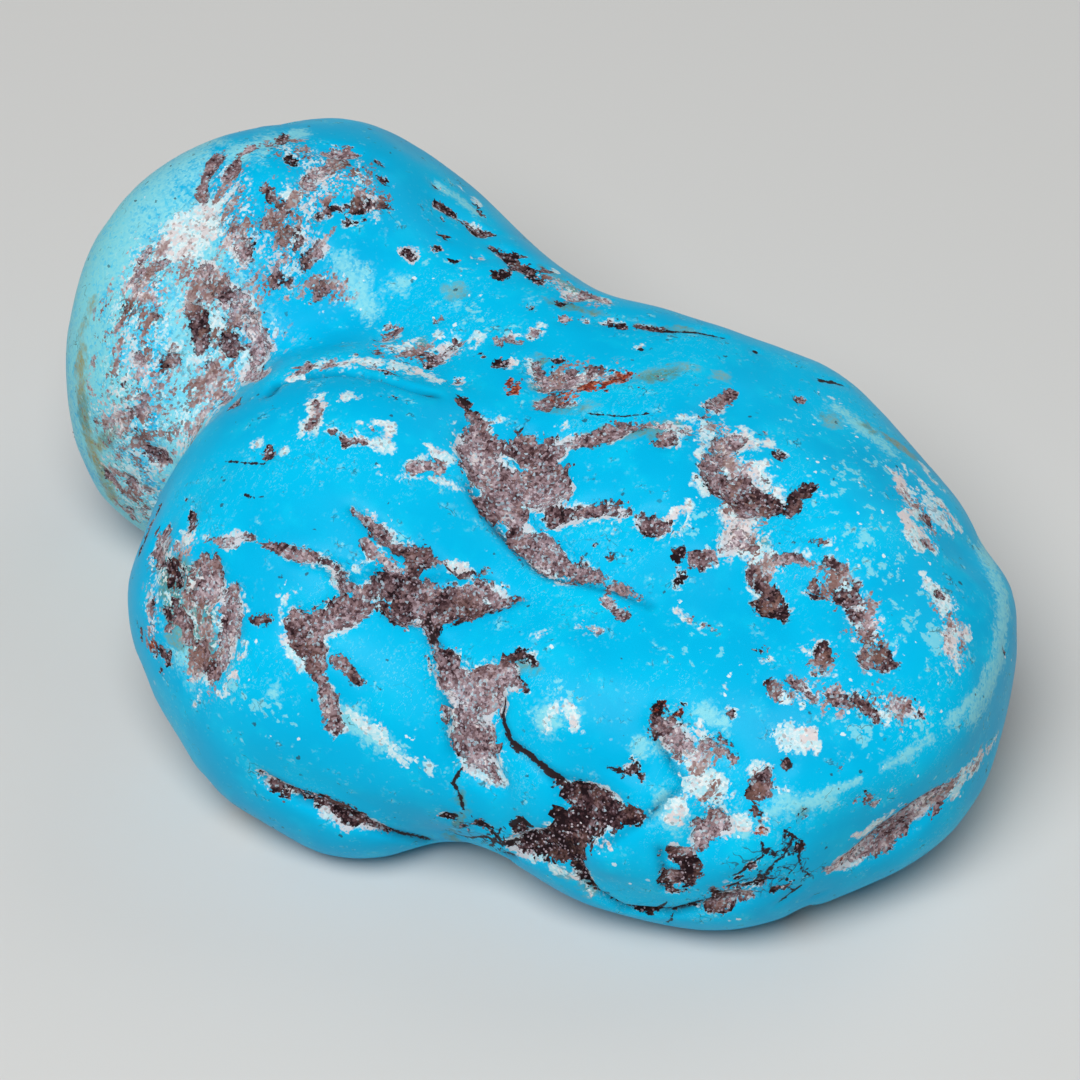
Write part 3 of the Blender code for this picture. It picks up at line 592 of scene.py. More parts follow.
paleZones = [
    [(66, 290, 34), (54, 370, 34), (66, 450, 34), (96, 520, 30)],
    # the first run below is a painted sheen along the nose's lower right rim
    [(985, 540, 14), (1004, 600, 16), (1000, 660, 16), (975, 715, 14)], [(548, 716, 14)], [(574, 716, 9)],
    [(346, 716, 11), (384, 744, 11)],
    [(190, 150, 40), (124, 210, 90), (84, 300, 110), (84, 420, 110), (130, 520, 70)],
    [(200, 250, 36), (205, 330, 56), (190, 420, 50), (160, 480, 40)], [(240, 150, 22), (300, 132, 14)],
    # from (766, 812) to (1000, 640): a painted sheen along the nose's lower right rim
    [(440, 185, 8), (476, 212, 8)], [(766, 812, 5), (799, 806, 6)],
    [(812, 798, 4), (838, 789, 6), (860, 781, 5)], [(884, 768, 5), (907, 755, 6), (932, 738, 6)],
    [(950, 722, 6), (975, 697, 8), (990, 668, 8)], [(1002, 610, 8), (1000, 640, 8)],
    [(345, 262, 14), (358, 284, 18), (372, 312, 12)], [(404, 282, 12)], [(455, 305, 8)],
    [(704, 712, 10), (722, 722, 10)], [(672, 818, 16), (662, 797, 7)], [(742, 826, 12)],
    [(787, 805, 13), (828, 802, 9)], [(640, 748, 10)], [(190, 625, 30), (190, 660, 24)], [(545, 720, 16)],
    [(350, 722, 10), (384, 744, 12)], [(275, 690, 10)], [(660, 745, 10)], [(840, 410, 14), (890, 450, 10)]]

greenZones = [
    [(66, 290, 34), (54, 370, 34), (66, 450, 34), (96, 520, 30)],
    [(110, 180, 60), (80, 300, 80), (80, 420, 80), (130, 520, 60)], [(850, 410, 18), (900, 445, 18)],
    [(600, 300, 30)]]

mottleZones = [
    [(150, 260, 36), (136, 320, 48), (140, 380, 56), (124, 440, 56), (140, 510, 40)],
    [(205, 280, 44), (222, 330, 52), (210, 390, 44), (180, 430, 40)], [(228, 180, 28), (244, 250, 30)],
    [(290, 150, 26), (330, 170, 34), (300, 210, 34), (282, 260, 36)], [(360, 175, 26), (372, 205, 20)],
    [(330, 290, 22)], [(150, 560, 14), (180, 580, 30), (205, 615, 34), (200, 665, 26)],
    [(150, 600, 16), (152, 650, 12)], [(540, 275, 12), (570, 290, 16), (604, 302, 14)],
    [(540, 380, 18), (580, 376, 24), (616, 372, 16)], [(400, 350, 24), (450, 350, 18)], [(320, 362, 14)],
    [(720, 430, 18), (740, 480, 26), (740, 530, 24), (770, 560, 22)],
    [(830, 570, 20), (866, 620, 22), (880, 660, 18)], [(770, 600, 18)], [(820, 655, 16)],
    [(910, 500, 18), (930, 526, 18)], [(945, 600, 14), (956, 650, 16)], [(700, 760, 20), (712, 800, 18)],
    [(764, 785, 16)], [(800, 690, 16), (860, 700, 16), (905, 708, 16)],
    [(860, 850, 12), (900, 822, 16), (940, 795, 14), (980, 760, 12)], [(725, 898, 18), (760, 885, 14)]]

webZones = [
    [(742, 862, 10), (784, 846, 10), (800, 864, 9), (770, 888, 9)], [(716, 898, 10)],
    [(470, 830, 16), (500, 840, 11)], [(820, 870, 8)]]

speckZones = [
    [(840, 480, 44), (880, 560, 44), (940, 650, 36)], [(350, 270, 34), (372, 312, 28)],
    [(440, 270, 36), (480, 320, 26)], [(250, 700, 30), (290, 720, 26)],
    [(800, 420, 24), (850, 440, 30), (880, 470, 30)], [(672, 818, 20), (742, 826, 16)], [(400, 745, 26)],
    [(860, 740, 30), (950, 720, 26)], [(700, 650, 34)], [(560, 700, 26)], [(690, 520, 24)]]


marking = {
    "step": 4,  # frame pixels between the points of a laid path
    "gap": 1.2,  # a longer jump than this, in mm, parts the path
    "reach": 4.0,  # mm around a mark in which its distance is kept
    "thinReach": 0.7,  # the same for thin veins
    "zoneFade": 0.9,  # how fast a zone fades towards its edge
    "smallZone": 0.3,  # mm radius below which it fades no faster
}


def framePoint(x, y):
    # the point of the stone that shows at this place in the frame
    reach = view["width"] / view["pixels"]
    half = view["pixels"] / 2
    aim = view["target"] + right * ((x - half) * reach) + up * ((half - y) * reach)
    eye = view["target"] - look * view["distance"]
    return surface.ray_cast(eye, (aim - eye).normalized())[0]


def laidPath(path):
    # the path laid on the stone in short steps, as (point, radius) in mm, cut where it leaves the stone
    pixel = view["width"] / view["pixels"] / mm
    steps = [path[0]]
    for first, second in zip(path, path[1:]):
        count = int(np.hypot(second[0] - first[0], second[1] - first[1]) / marking["step"]) + 1
        steps += [np.array(first) + (np.array(second) - first) * part / count for part in range(1, count + 1)]
    runs = [[]]
    for x, y, radius in steps:
        point = framePoint(x, y)
        if point is None:
            runs.append([])
            continue
        point = point / mm
        if runs[-1] and (point - runs[-1][-1][0]).length > marking["gap"]:
            runs.append([])
        runs[-1].append((point, radius * pixel))
    return [run for run in runs if run]


def nearestMark(runs, reach, tones=None):
    # for each point of the skin: distance outside the nearest mark, its radius, tone and nearest point
    count = len(places)
    order = np.argsort(places[:, 0])
    spots = places[order]
    away = np.full(count, stone["farAway"])
    size = np.zeros(count)
    tone = np.zeros(count)
    near = spots.copy()
    for index, run in enumerate(runs):
        ends = run if len(run) > 1 else run * 2
        for (first, firstRadius), (second, secondRadius) in zip(ends, ends[1:]):
            start, span = np.array(first), np.array(second) - np.array(first)
            limit = reach + span.dot(span) ** 0.5 + max(firstRadius, secondRadius)
            low, high = np.searchsorted(spots[:, 0], (start[0] - limit, start[0] + limit))
            offset = spots[low:high] - start
            along = np.clip(offset @ span / max(span @ span, 1e-9), 0, 1)
            radius = firstRadius + (secondRadius - firstRadius) * along
            gap = offset - along[:, None] * span
            distance = np.sqrt((gap * gap).sum(axis=1)) - radius
            better = distance < away[low:high]
            chosen = np.flatnonzero(better) + low
            away[chosen] = distance[better]
            size[chosen] = radius[better]
            near[chosen] = spots[chosen] - gap[better]
            if tones:
                tone[chosen] = tones[index]
    back = np.argsort(order)
    return away[back], size[back], tone[back], near[back]


# markings of the far side and the underside, in seeded clusters
farSide = {
    "seed": 11,
    "clusters": 40,
    "apart": 6.0,  # mm between the clusters' middles
    "grazing": 0.02,  # how squarely a place faces the camera to count as seen
    "lift": 0.05,  # mm above the stone from which its view of the camera is tried
    "axis": (0.35, 0.5, 0.8),  # the marks run square to this direction
    "tones": [0.15, 0.35, 0.5, 0.6],
    "lengths": [1.2, 2, 3.5, 5, 8],  # mm
    "widths": (0.25, 1.3),
    "spread": (2.0, 1.2),  # mm from the cluster's middle, along and across the marks
    "smallSpread": (3.0, 1.8),
    # small marks: kind, most in a cluster, length and width in mm
    "small": [("chalk", 3, 5, 0.45), ("vein", 1, 8, 0.04), ("cloud", 1, 4, 0.5), ("rock", 5, 1.2, 0.16)],
    "smallTones": (0.1, 0.5),
    "zones": {"pale": 0.35, "mottle": 0.2, "speck": 0.3, "web": 0.15},  # share of the clusters
    "zoneLengths": (3, 9),
    "zoneWidths": (1.2, 2.6),
    "stride": 0.8,  # mm between the points of a wandering mark
    "wander": 0.36,  # how far it turns at each point
    "hold": 0.35,  # how strongly it keeps its first heading
    "taper": 0.7,  # strides by which its ends run out
    "swell": (0.6, 1.2),  # how its width varies
    "thinnest": 0.08,  # mm
}


def isSeen(point, normal):
    toEye = (view["target"] - look * view["distance"] - point).normalized()
    if normal.dot(toEye) < farSide["grazing"]:
        return False
    return surface.ray_cast(point + normal * farSide["lift"] * mm, toEye)[0] is None


def wanderRun(dice, start, heading, length, width):
    # a mark that wanders over the side turned away from the camera, as (point, radius) in mm
    run = []
    point, course = start, heading
    strides = length / farSide["stride"]
    for step in range(int(strides) + 1):
        spot, normal, _, _ = surface.find_nearest(point)
        if isSeen(spot, normal):
            break
        swell = sin(pi * (step + farSide["taper"]) / (strides + 2 * farSide["taper"]))
        radius = width * swell * dice.uniform(*farSide["swell"]) + min(farSide["thinnest"], 0.5 * width)
        run.append((spot / mm, radius))
        heading = heading + course * farSide["hold"] + Vector(dice.normal(0, farSide["wander"], 3))
        heading = (heading - normal * heading.dot(normal)).normalized()
        point = spot + heading * farSide["stride"] * mm
    return run


def hiddenRuns():
    dice = np.random.default_rng(farSide["seed"])
    made = {kind: [] for kind in ("rock", "chalk", "vein", "cloud", *farSide["zones"])}
    tones = []
    spots = []

    def strewn(spread):
        return spot + (flow * dice.normal(0, spread[0]) + across * dice.normal(0, spread[1])) * mm

    while len(spots) < farSide["clusters"]:
        index = dice.integers(len(places))
        spot, normal = Vector(places[index]) * mm, Vector(normals[index])
        if isSeen(spot, normal) or any((spot - other).length < farSide["apart"] * mm for other in spots):
            continue
        spots.append(spot)
        flow = normal.cross(Vector(farSide["axis"])).normalized()
        across = normal.cross(flow)
        tone = dice.choice(farSide["tones"])
        for _ in range(dice.integers(1, 4)):
            start = strewn(farSide["spread"])
            heading = flow * dice.choice([-1, 1])
            length = dice.choice(farSide["lengths"])
            width = dice.uniform(*farSide["widths"]) * min(1, 4 / length + 0.3)  # long marks are slimmer
            run = wanderRun(dice, start, heading, length, width)
            if run:
                made["rock"].append(run)
                tones.append(tone)
        for kind, most, length, width in farSide["small"]:
            for _ in range(dice.integers(0, most + 1)):
                start = strewn(farSide["smallSpread"])
                runLength = dice.uniform(0.4, 1) * length
                run = wanderRun(dice, start, flow, runLength, width * dice.uniform(0.5, 1.3))
                if run:
                    made[kind].append(run)
                    if kind == "rock":
                        tones.append(dice.uniform(*farSide["smallTones"]))
        zone = dice.choice(list(farSide["zones"]), p=list(farSide["zones"].values()))
        runLength = dice.uniform(*farSide["zoneLengths"])
        run = wanderRun(dice, spot, flow, runLength, dice.uniform(*farSide["zoneWidths"]))
        if run:
            made[zone].append(run)
    return made, tones


def laidRuns(paths):
    return [run for path in paths for run in laidPath(path)]


def soften(away, size):
    # weight of a zone, fading smoothly from 1 on its path
    share = (away + size) / np.maximum(size, marking["smallZone"])
    return np.exp(-marking["zoneFade"] * share ** 2) * (away < stone["farAway"])


stoneLayers = []  # names of the values kept on the skin


def keep(name, values):
    stoneLayers.append(name)
    kind = "FLOAT" if values.ndim == 1 else "FLOAT_VECTOR"
    field = skin.data.attributes.new(name, kind, "POINT")
    field.data.foreach_set("value" if values.ndim == 1 else "vector", values.astype(np.float32).ravel())


def markSkin():
    hidden, hiddenTones = hiddenRuns()
    rockRuns, tones = [], []
    for group in rockMarks.values():
        runs = laidRuns(group["paths"])
        rockRuns += runs
        tones += [group["tone"]] * len(runs)
    rock, rockSize, tone, _ = nearestMark(rockRuns + hidden["rock"], marking["reach"], tones + hiddenTones)
    bare = nearestMark(laidRuns(bareMarks), marking["reach"])[0]
    rock = np.maximum(rock, -bare)
    keep("rock", rock)
    keep("rockSize", rockSize)
    keep("rockTone", tone)
    for name, paths in (("chalk", chalkMarks), ("rust", rustMarks), ("cloud", cloudMarks)):
        away, size, _, _ = nearestMark(laidRuns(paths) + hidden.get(name, []), marking["reach"])
        keep(name, away)
        if name == "chalk":
            keep("chalkSize", size)
    vein, veinSize, _, veinNear = nearestMark(laidRuns(veinMarks) + hidden["vein"], marking["thinReach"])
    lost = vein > marking["thinReach"]
    veinNear[lost] = places[lost]
    veinSize[lost] = -stone["farAway"]
    keep("veinSize", veinSize)
    for name, paths in (
            ("pale", paleZones), ("mottle", mottleZones), ("web", webZones), ("speck", speckZones),
            ("green", greenZones)):
        away, size, _, _ = nearestMark(laidRuns(paths) + hidden.get(name, []), marking["reach"])
        keep(name, soften(away, size))
    return rock, rockSize, vein, veinNear


rock, rockSize, vein, veinNear = markSkin()
print("markings laid on the stone")


def carveSkin():
    # the host rock and the veins lie lower than the polished blue, which rolls down to them
    wide = np.clip(rockSize / stone["wideMark"], 0.3, 1.3)
    core = np.clip(0.6 - rock / stone["rockEdge"], 0, 1) * stone["rockSink"] * wide
    shoulder = np.clip(1 - rock / stone["shoulder"], 0, 1) ** 2 * stone["shoulderSink"] * wide
    rough, waves = (
        np.array([noise.noise(Vector(place) * stone[rate]) for place in places])
        for rate in ("roughRate", "waveRate"))
    sink = core * (1 + stone["roughShare"] * rough) + shoulder
    fold, foldSize, _, _ = nearestMark(laidRuns(foldMarks), stone["foldReach"])
    folded = np.clip(1 - (fold + foldSize) / stone["foldWidth"], 0, 1) ** 2
    # fold: how strongly each crease gets painted shade
    keep("fold", folded * np.clip(foldSize / stone["foldFull"], 0, 1))
    sink += folded * foldSize * stone["foldDepth"]
    sink = np.maximum(sink, np.clip(1 - vein / stone["veinEdge"], 0, 1) * stone["veinSink"])
    sink += np.clip(waves, 0, 1) * stone["waveSink"]
    lower = normals * (sink / mm)[:, None]
    keep("veinNear", veinNear - lower)
    skin.data.vertices.foreach_set("co", ((places - lower) * mm).ravel())
    skin.data.update()


carveSkin()


fray = {
    "coarse": 1.7,  # mm across one patch of each noise
    "medium": 0.5,
    "patch": 2.4,
    "chip": 1.15,
    "mediumShift": (31, 7, 5),  # so that the noises don't line up
    "patchShift": (13, 2, 25),
    "bend": (1.5, -1.1, 0.9),  # mm by which the chips are bent
    "thin": 0.3,  # mm by which a thin mark frays, and how that grows with its radius
    "growth": 0.5,
}


def rockField(tree, here):
    # the noises that fray every mark, and the distance outside the host rock with its frayed outline
    coarse = tree.noise(here, fray["coarse"], detail=5, rough=0.62) - 0.5
    mediumPlace = tree.vector("ADD", here, fray["mediumShift"])
    medium = tree.noise(mediumPlace, fray["medium"], detail=2, rough=0.55) - 0.5
    patch = tree.noise(tree.vector("ADD", here, fray["patchShift"]), fray["patch"], detail=2)
    bent = tree.vector("ADD", here, tree.vector("SCALE", fray["bend"], scale=coarse))
    chip = tree.chips(bent, fray["chip"]) - 0.5  # the same all over one angular chip of the rock
    wide = fray["thin"] + fray["growth"] * tree.attribute("rockSize")
    away = tree.attribute("rock") + (1.3 * (patch - 0.5) + 2.7 * coarse + 1.5 * medium + 1.0 * chip) * wide
    return coarse, medium, patch, chip, away


def hue(name):
    return tint(*stoneLook[name])


def stoneMaterial():
    shader = Shader("turquoiseStone")
    edge, strength = stoneLook["edges"], stoneLook["strengths"]
    here = shader.vector("SCALE", shader.node("ShaderNodeTexCoord", output="Object"), scale=1 / mm)  # in mm
    coarse, medium, patch, chip, rockAway = rockField(shader, here)
    broad = shader.noise(shader.vector("ADD", here, stoneLook["broadShift"]), stoneLook["broad"], detail=1)
    grain, grainTone, grainPick = shader.cells(here, stoneLook["grain"])

    # turquoise, paler in chalky places; along the nose's lower right rim the paler band is a painted sheen
    colour = shader.mix(broad.fade(0.35, 0.65), hue("deep"), hue("body"))
    colour = shader.mix((patch + 0.6 * coarse).fade(0.45, 0.85) * strength["light"], colour, hue("light"))
    pale = shader.attribute("pale") * 0.85 + 1.3 * coarse + 0.9 * medium + 0.4 * (grainTone - 0.5)
    pale = pale.fade(*edge["pale"])
    paleHue = shader.mix(shader.attribute("green") * (0.6 + coarse), hue("pale"), hue("paleGreen"))
    colour = shader.mix(pale * (0.75 + 0.25 * grainTone), colour, paleHue)
    crack = abs(patch + 0.12 * medium - 0.5).fade(*edge["crack"]) * broad.fade(0.58, 0.68)
    colour = shader.mix(crack * strength["crack"], colour, hue("vein"))

    # painted shade: the creases are tinted a deeper teal, with a dark line along their bottom, for the shade
    # that falls in them
    fold = shader.attribute("fold") + 0.5 * coarse * shader.attribute("fold").fade(0, 0.2)
    colour = shader.mix(fold.fade(*edge["shade"]) * strength["shade"], colour, hue("shade"))
    colour = shader.mix(fold.fade(*edge["foldLine"]) * strength["foldLine"], colour, hue("vein"))

    # grey-green cloud
    cloud = (shader.attribute("cloud") + 2.0 * coarse + 1.4 * medium).fade(*edge["cloud"])
    cloudHue = shader.mix(patch.fade(0.35, 0.65), hue("olive"), hue("greyGreen"))
    cloudHue = shader.mix(shader.attribute("green") * (patch + coarse).fade(0.2, 0.5), cloudHue, hue("ochre"))
    colour = shader.mix(cloud * (0.5 + 0.5 * grainTone), colour, cloudHue)

    # scattered specks, white and a few dark
    speck = shader.attribute("speck")
    dotPlace = {"Vector": here, "Scale": 1 / stoneLook["speckGap"]}
    dots = shader.node("ShaderNodeTexVoronoi", {}, dotPlace, output=None)
    dotPick = shader.node("ShaderNodeSeparateColor", {}, {"Color": dots["Color"]})
    dotShape = (dots["Distance"] + 1.2 * medium - 0.16 * grain).fade(*edge["dot"])
    whiteDots = dotShape * dotPick.fade(0.985 - 0.16 * speck, 1.0 - 0.16 * speck)
    colour = shader.mix(whiteDots * strength["whiteDot"], colour, hue("chalk"))
    darkDots = dotShape * dotPick.fade(0.06, 0.04)
    colour = shader.mix(darkDots * strength["darkDot"], colour, hue("vein"))
    wisp = (coarse + 0.9 * medium + 0.2 * speck + 0.1 * (grain - 0.5)).fade(*edge["wisp"])
    colour = shader.mix(wisp * strength["wisp"], colour, hue("pale"))

    # brown and white mottling, drawn out along one direction
    mottle = shader.attribute("mottle")
    along = shader.vector("DOT_PRODUCT", here, stoneLook["streak"], output="Value")
    drawn = shader.vector("SCALE", stoneLook["streak"], scale=stoneLook["drawnOut"] * along)
    streaky = shader.vector("SUBTRACT", here, drawn)
    streak = shader.noise(streaky, stoneLook["streakSize"], detail=4, rough=0.62) + 0.12 * (grain - 0.5)
    inMottle = mottle.fade(0.05, 0.4)
    whiteMottle = (streak - 0.14 * mottle + 0.06 * chip).fade(0.31, 0.24) * inMottle
    brownMottle = (streak + 0.165 * mottle + 0.1 * chip).fade(0.67, 0.71) * inMottle
    granular = mottle.fade(0.45, 0.95)
    salt = (grainTone - 0.9 * (streak - 0.5)).fade(0.84, 0.90) * granular
    pepper = (grainPick + 0.9 * (streak - 0.5)).fade(0.84, 0.90) * granular
    scratch = abs(streak - 0.5).fade(*edge["scratch"]) * broad.fade(0.5, 0.6)
    colour = shader.mix(scratch * strength["scratch"], colour, hue("pale"))

    # chalk
    chalkWide = (0.32 + 0.5 * shader.attribute("chalkSize")).least(0.62)
    chalkAway = shader.attribute("chalk") + (3.2 * coarse + 3.0 * medium + 1.1 * chip) * chalkWide
    chalkAway = chalkAway + 0.2 * (grain - 0.5)
    chalk = chalkAway.fade(*edge["chalk"]) * (0.62 + 0.7 * patch)
    chalkHue = shader.mix(grainTone, hue("chalkCool"), hue("chalk"))
    chalkHue = shader.mix((patch + medium).fade(0.5, 0.62) * 0.75, chalkHue, hue("chalkPink"))
    chalkHue = shader.mix(grainPick.fade(0.88, 0.92) * 0.6, chalkHue, hue("chalkSpot"))

    # host rock, with a broken white fringe
    rockAway = rockAway + 0.18 * (grain - 0.5)
    rockMask = rockAway.fade(*edge["rock"]).most(brownMottle)
    fringeWide = stoneLook["fringe"] * (patch + 0.8 * coarse + 0.4 * medium).fade(0.42, 0.72)
    fringeWide = fringeWide * shader.attribute("rockSize").fade(0.05, 0.5)
    fringe = (rockAway + 0.5 * medium - fringeWide).fade(*edge["fringe"])
    tone = shader.attribute("rockTone").most(0.45 * brownMottle * shader.attribute("rock").fade(0.0, 0.5))
    tone = tone + 0.9 * (patch - 0.5) + 1.1 * (streak - 0.5) + 0.7 * medium + 0.25 * chip
    tone = tone + 0.45 * (grainTone - 0.5) + 0.35 * grainPick.fade(0.9, 0.96)
    rockHue = shader.ramp(tone, stoneLook["rockTones"])
    warmShare = (streak - 0.3 * patch).fade(0.34, 0.5) * (0.35 + 0.45 * mottle)
    rockHue = shader.mix(warmShare, rockHue, hue("warm"))
    coolShare = grainPick.fade(0.80, 0.85) * tone.fade(0.25, 0.55) * strength["coolGrain"]
    rockHue = shader.mix(coolShare, rockHue, hue("coolGrain"))
    rim = abs(rockAway + 0.05).fade(0.08, 0.0) * medium.fade(-0.08, 0.06)
    rim = rim * shader.attribute("rockSize").fade(0.1, 0.4)
    rockHue = shader.mix(rim * strength["rim"], rockHue, hue("vein"))

    # thin veins and a web of cracks
    veinNear = shader.attribute("veinNear", output="Vector")
    veinAway = shader.vector("DISTANCE", here, veinNear, output="Value") - shader.attribute("veinSize")
    vein = (veinAway + 0.3 * medium + 0.1 * (grain - 0.5)).fade(*edge["vein"])
    bent = shader.vector("ADD", here, shader.vector(
        "SCALE", shader.noiseColour(here, stoneLook["webWave"]), scale=stoneLook["webBend"]))
    webAway = shader.node(
        "ShaderNodeTexVoronoi", {"feature": "DISTANCE_TO_EDGE"},
        {"Vector": bent, "Scale": 1 / stoneLook["webCell"]})
    webShare = (shader.attribute("web") * 0.75 + 1.5 * coarse + medium).fade(0.12, 0.3)
    web = (webAway + 0.16 * medium).fade(*edge["web"]) * webShare
    vein = vein.most(web * strength["web"])

    rustAway = shader.attribute("rust") + 2.0 * coarse + 1.4 * medium + 0.3 * (grain - 0.5)
    rust = rustAway.fade(*edge["rust"])

    whiteShare = (whiteMottle * strength["whiteMottle"]).most(salt * strength["salt"])
    colour = shader.mix(whiteShare, colour, chalkHue)
    colour = shader.mix(pepper * strength["pepper"], colour, hue("pepper"))
    colour = shader.mix(chalk.most(fringe * strength["fringe"]), colour, chalkHue)
    colour = shader.mix(rockMask, colour, rockHue)
    colour = shader.mix(vein * strength["vein"], colour, hue("vein"))
    colour = shader.mix(rust, colour, shader.ramp(0.5 + coarse + (grainTone - 0.5), stoneLook["rustTones"]))

    worn = rockMask.most(rust)
    roughness = stoneLook["roughness"] + 0.12 * medium + 0.2 * chalk
    roughness = roughness + worn * (stoneLook["wornRoughness"] - roughness)
    height = rockAway.fade(0.05, -0.05) * ((grain - 0.5) * 0.05 - 0.06) + medium * 0.008
    bumpInputs = {"Strength": 1.0, "Distance": mm, "Height": height}
    bump = shader.node("ShaderNodeBump", {}, bumpInputs, output="Normal")
    shader.set(**{
        "Base Color": colour, "Roughness": roughness, "Normal": bump,
        "Specular IOR Level": stoneLook["gloss"]})
    return shader.material


stoneLook = {
    "body": (0, 192, 238),
    "deep": (0, 180, 228),
    "light": (10, 208, 244),
    "pale": (138, 220, 234),
    "paleGreen": (136, 214, 218),
    "olive": (92, 138, 124),
    "greyGreen": (120, 172, 176),
    "ochre": (152, 146, 92),
    "chalk": (232, 240, 240),
    "chalkCool": (166, 222, 234),
    "chalkPink": (222, 204, 204),
    "chalkSpot": (156, 132, 128),
    "shade": (0, 112, 150),
    "warm": (132, 98, 88),
    "coolGrain": (152, 190, 204),
    "pepper": (104, 96, 98),
    "vein": (46, 34, 36),
    "grain": 0.15,  # mm across one grain of the host rock
    "speckGap": 0.5,  # mm between the places where a speck may be
    "broad": 7.0,  # mm across one patch of the blue's own shades
    "broadShift": (3, 41, 15),
    "streak": (0.05, -0.88, -0.47),  # the direction in which the mottling is drawn out
    "drawnOut": 0.68,
    "streakSize": 0.85,  # mm
    "fringe": 0.6,  # mm, the widest white fringe around the rock
    "webCell": 1.15,  # mm across one cell of the cracked web, and its bends
    "webWave": 1.1,
    "webBend": 2.2,
    # where each layer starts and where it is full
    "edges": {
        "pale": (0.15, 0.85), "crack": (0.010, 0.002), "shade": (0.05, 0.7), "foldLine": (0.62, 0.85),
        "cloud": (0.3, -0.4), "dot": (0.11, 0.03), "wisp": (0.27, 0.34), "scratch": (0.008, 0.002),
        "chalk": (0.12, -0.16), "rock": (0.04, -0.04), "fringe": (0.03, -0.12), "vein": (0.04, -0.02),
        "web": (0.06, 0.015), "rust": (0.06, -0.1)},
    # how strongly each layer covers what lies below it
    "strengths": {
        "light": 0.5, "crack": 0.18, "shade": 0.55, "foldLine": 0.7, "whiteDot": 0.85, "darkDot": 0.7,
        "wisp": 0.7, "scratch": 0.4, "coolGrain": 0.6, "rim": 0.65, "web": 0.65, "whiteMottle": 0.85,
        "salt": 0.7, "pepper": 0.75, "fringe": 0.85, "vein": 0.99},
    "rockTones": [
        (0.0, tint(34, 22, 26)), (0.2, tint(68, 46, 50)), (0.42, tint(116, 92, 96)),
        (0.6, tint(154, 132, 138)), (0.82, tint(188, 172, 180)), (1.0, tint(230, 224, 226))],
    "rustTones": [(0.0, tint(70, 30, 30)), (0.5, tint(150, 62, 44)), (1.0, tint(196, 120, 90))],
    "roughness": 0.38,
    "wornRoughness": 0.82,
    "gloss": 0.06,
}

skin.data.materials.clear()
skin.data.materials.append(stoneMaterial())
print("stone material made")


# small quartz and host-rock grains that stand in the worn rock
grains = {
    "Grains per square mm": 7.0,
    "Middle size in mm": 0.16,
    "Inside the edge in mm": 0.03,
    "Seed": 5,
}
grainLook = {
    "tones": [
        (0.0, tint(62, 46, 52)), (0.4, tint(124, 104, 114)), (0.7, tint(174, 158, 168)),
        (1.0, tint(232, 228, 230))],
    "cell": 0.3,  # mm across one cell of the same tone
    "least": (0.5, 0.5, 0.5),  # shares of the middle size
    "most": (1.6, 1.3, 1.1),
    "edge": (0.0, -0.08),  # mm from the rock's edge, inwards below 0: where grains start, where they are full
    "floor": (0.7, 0.75),  # mm above the ground, the same
}


def grainMaterial():
    shader = Shader("rockGrain")
    here = shader.vector("SCALE", shader.node("ShaderNodeTexCoord", output="Object"), scale=1 / mm)
    pick, second, _ = shader.cells(here, grainLook["cell"])
    patch = shader.noise(here, fray["patch"], detail=1)
    colour = shader.ramp(0.55 * pick + 0.9 * (patch - 0.3), grainLook["tones"])
    shader.set(**{"Base Color": colour, "Roughness": 0.35 + 0.4 * second})
    return shader.material


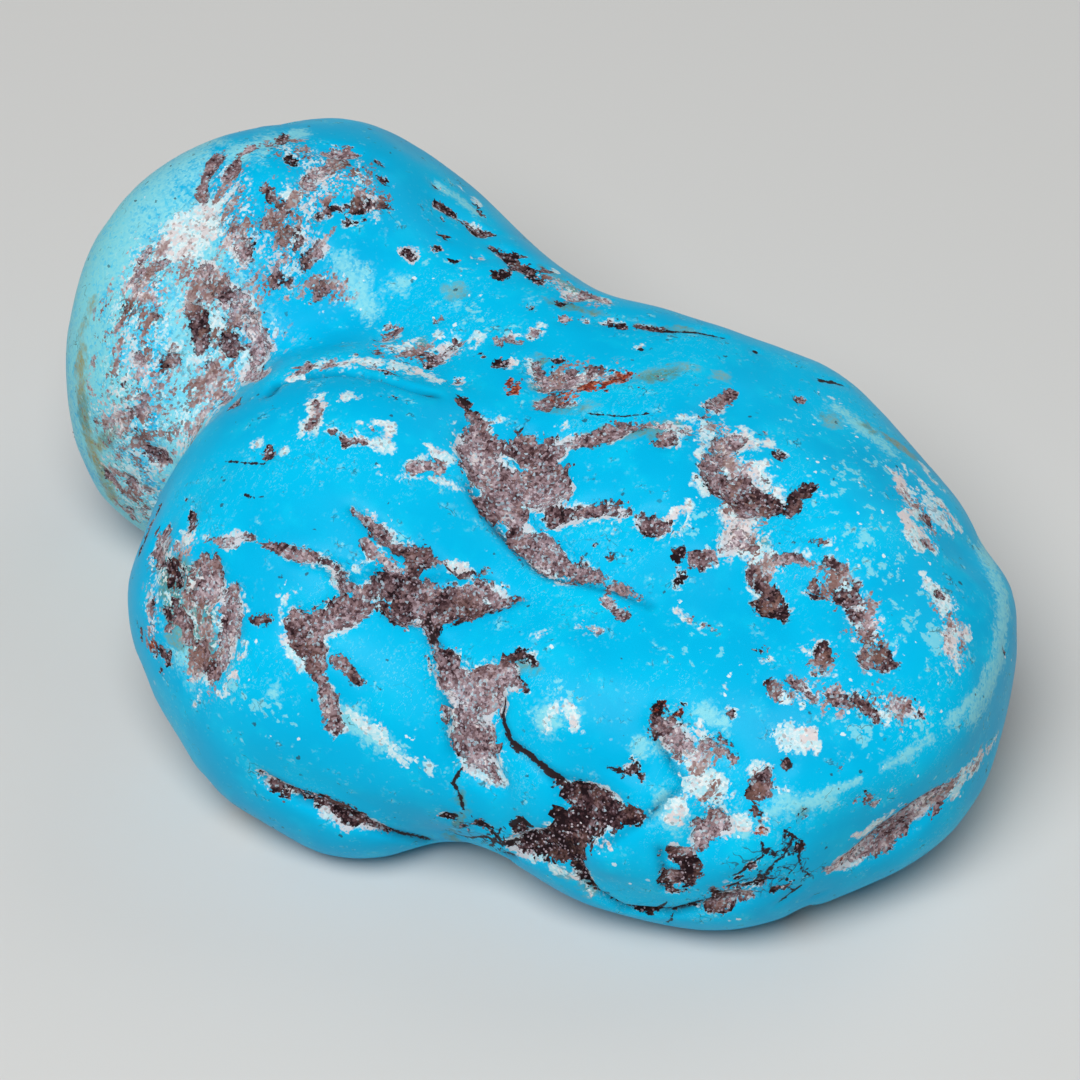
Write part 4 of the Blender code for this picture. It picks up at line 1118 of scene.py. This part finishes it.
def makeGrains():
    piece = bpy.data.objects.new("rockGrains", skin.data.copy())
    bpy.context.scene.collection.objects.link(piece)
    growth = Growth("rockGrains", grains)
    here = growth.vector("SCALE", growth.node("GeometryNodeInputPosition"), scale=1 / mm)
    away = rockField(growth, here)[-1] + growth.inputs["Inside the edge in mm"]
    height = growth.node("ShaderNodeSeparateXYZ", {}, {"Vector": here}, output="Z")
    density = away.fade(*grainLook["edge"]) * height.fade(*grainLook["floor"])
    density = density * growth.inputs["Grains per square mm"] / mm ** 2
    spread = {"Mesh": growth.inputs["Geometry"], "Density": density, "Seed": growth.inputs["Seed"]}
    points = growth.node(
        "GeometryNodeDistributePointsOnFaces", {"distribute_method": "RANDOM"}, spread, output="Points")
    ball = {"Radius": 0.5 * mm, "Subdivisions": 1}  # 1 mm across, scaled to each grain's size
    grain = growth.node("GeometryNodeMeshIcoSphere", {}, ball, output="Mesh")
    turn = growth.node(
        "FunctionNodeRandomValue", {"data_type": "FLOAT_VECTOR"}, {1: (2 * pi,) * 3, "Seed": 1}, output=0)
    shape = growth.node("FunctionNodeRandomValue", {"data_type": "FLOAT_VECTOR"}, {
        0: grainLook["least"], 1: grainLook["most"], "Seed": 2}, output=0)
    scale = growth.vector("SCALE", shape, scale=growth.inputs["Middle size in mm"])
    placed = growth.node("GeometryNodeInstanceOnPoints", {}, {
        "Points": points, "Instance": grain, "Rotation": turn, "Scale": scale})
    real = growth.node("GeometryNodeRealizeInstances", {}, {"Geometry": placed})
    dressed = {"Geometry": real, "Material": grainMaterial()}
    growth.grow(piece, growth.node("GeometryNodeSetMaterial", {}, dressed))
    for name in stoneLayers:
        if name in piece.data.attributes:
            piece.data.attributes.remove(piece.data.attributes[name])
    return piece


rockGrains = makeGrains()
print("rock grains placed:", len(rockGrains.data.polygons) // 20)  # each has 20 faces
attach(rockGrains, "root")

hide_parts("turquoise_nugget")
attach(skin, "root")


studio = {
    "floorSize": 1.6,
    "floorColour": (212, 212, 210),
    "floorRoughness": 0.9,
    "floorGloss": 0.2,
    "lights": {  # place in m, energy in W, size in m
        "keyLight": (Vector((0.12, -0.27, 0.49)), 3.15, 0.38),
        "fillLight": (Vector((-0.5, -0.1, 0.30)), 0.15, 0.6),
        "backLight": (Vector((0.05, 0.5, 0.40)), 0.7, 0.5),
    },
    "sky": 0.1,
}


def addLight(name, place, energy, size):
    data = bpy.data.lights.new(name, "AREA")
    data.shape = "DISK"
    data.size = size
    data.energy = energy
    light = bpy.data.objects.new(name, data)
    light.matrix_world = Matrix.Translation(place) @ (-place).to_track_quat("-Z", "Y").to_matrix().to_4x4()
    bpy.context.scene.collection.objects.link(light)


def makeStudio():
    half = studio["floorSize"] / 2
    mesh = bpy.data.meshes.new("floor")
    corners = [(-half, -half, 0), (half, -half, 0), (half, half, 0), (-half, half, 0)]
    mesh.from_pydata(corners, [], [(0, 1, 2, 3)])
    floor = bpy.data.objects.new("floor", mesh)
    bpy.context.scene.collection.objects.link(floor)
    paper = Shader("paperFloor")
    paper.set(**{
        "Base Color": tint(*studio["floorColour"]), "Roughness": studio["floorRoughness"],
        "Specular IOR Level": studio["floorGloss"]})
    mesh.materials.append(paper.material)
    for name, (place, energy, size) in studio["lights"].items():
        addLight(name, place, energy, size)
    world = bpy.data.worlds.new("studioWorld")
    bpy.context.scene.world = world
    world.use_nodes = True
    sky = world.node_tree.nodes["Background"]
    sky.inputs["Color"].default_value = (1, 1, 1, 1)
    sky.inputs["Strength"].default_value = studio["sky"]
    bpy.context.scene.view_settings.view_transform = "Standard"


makeStudio()
print("studio made")
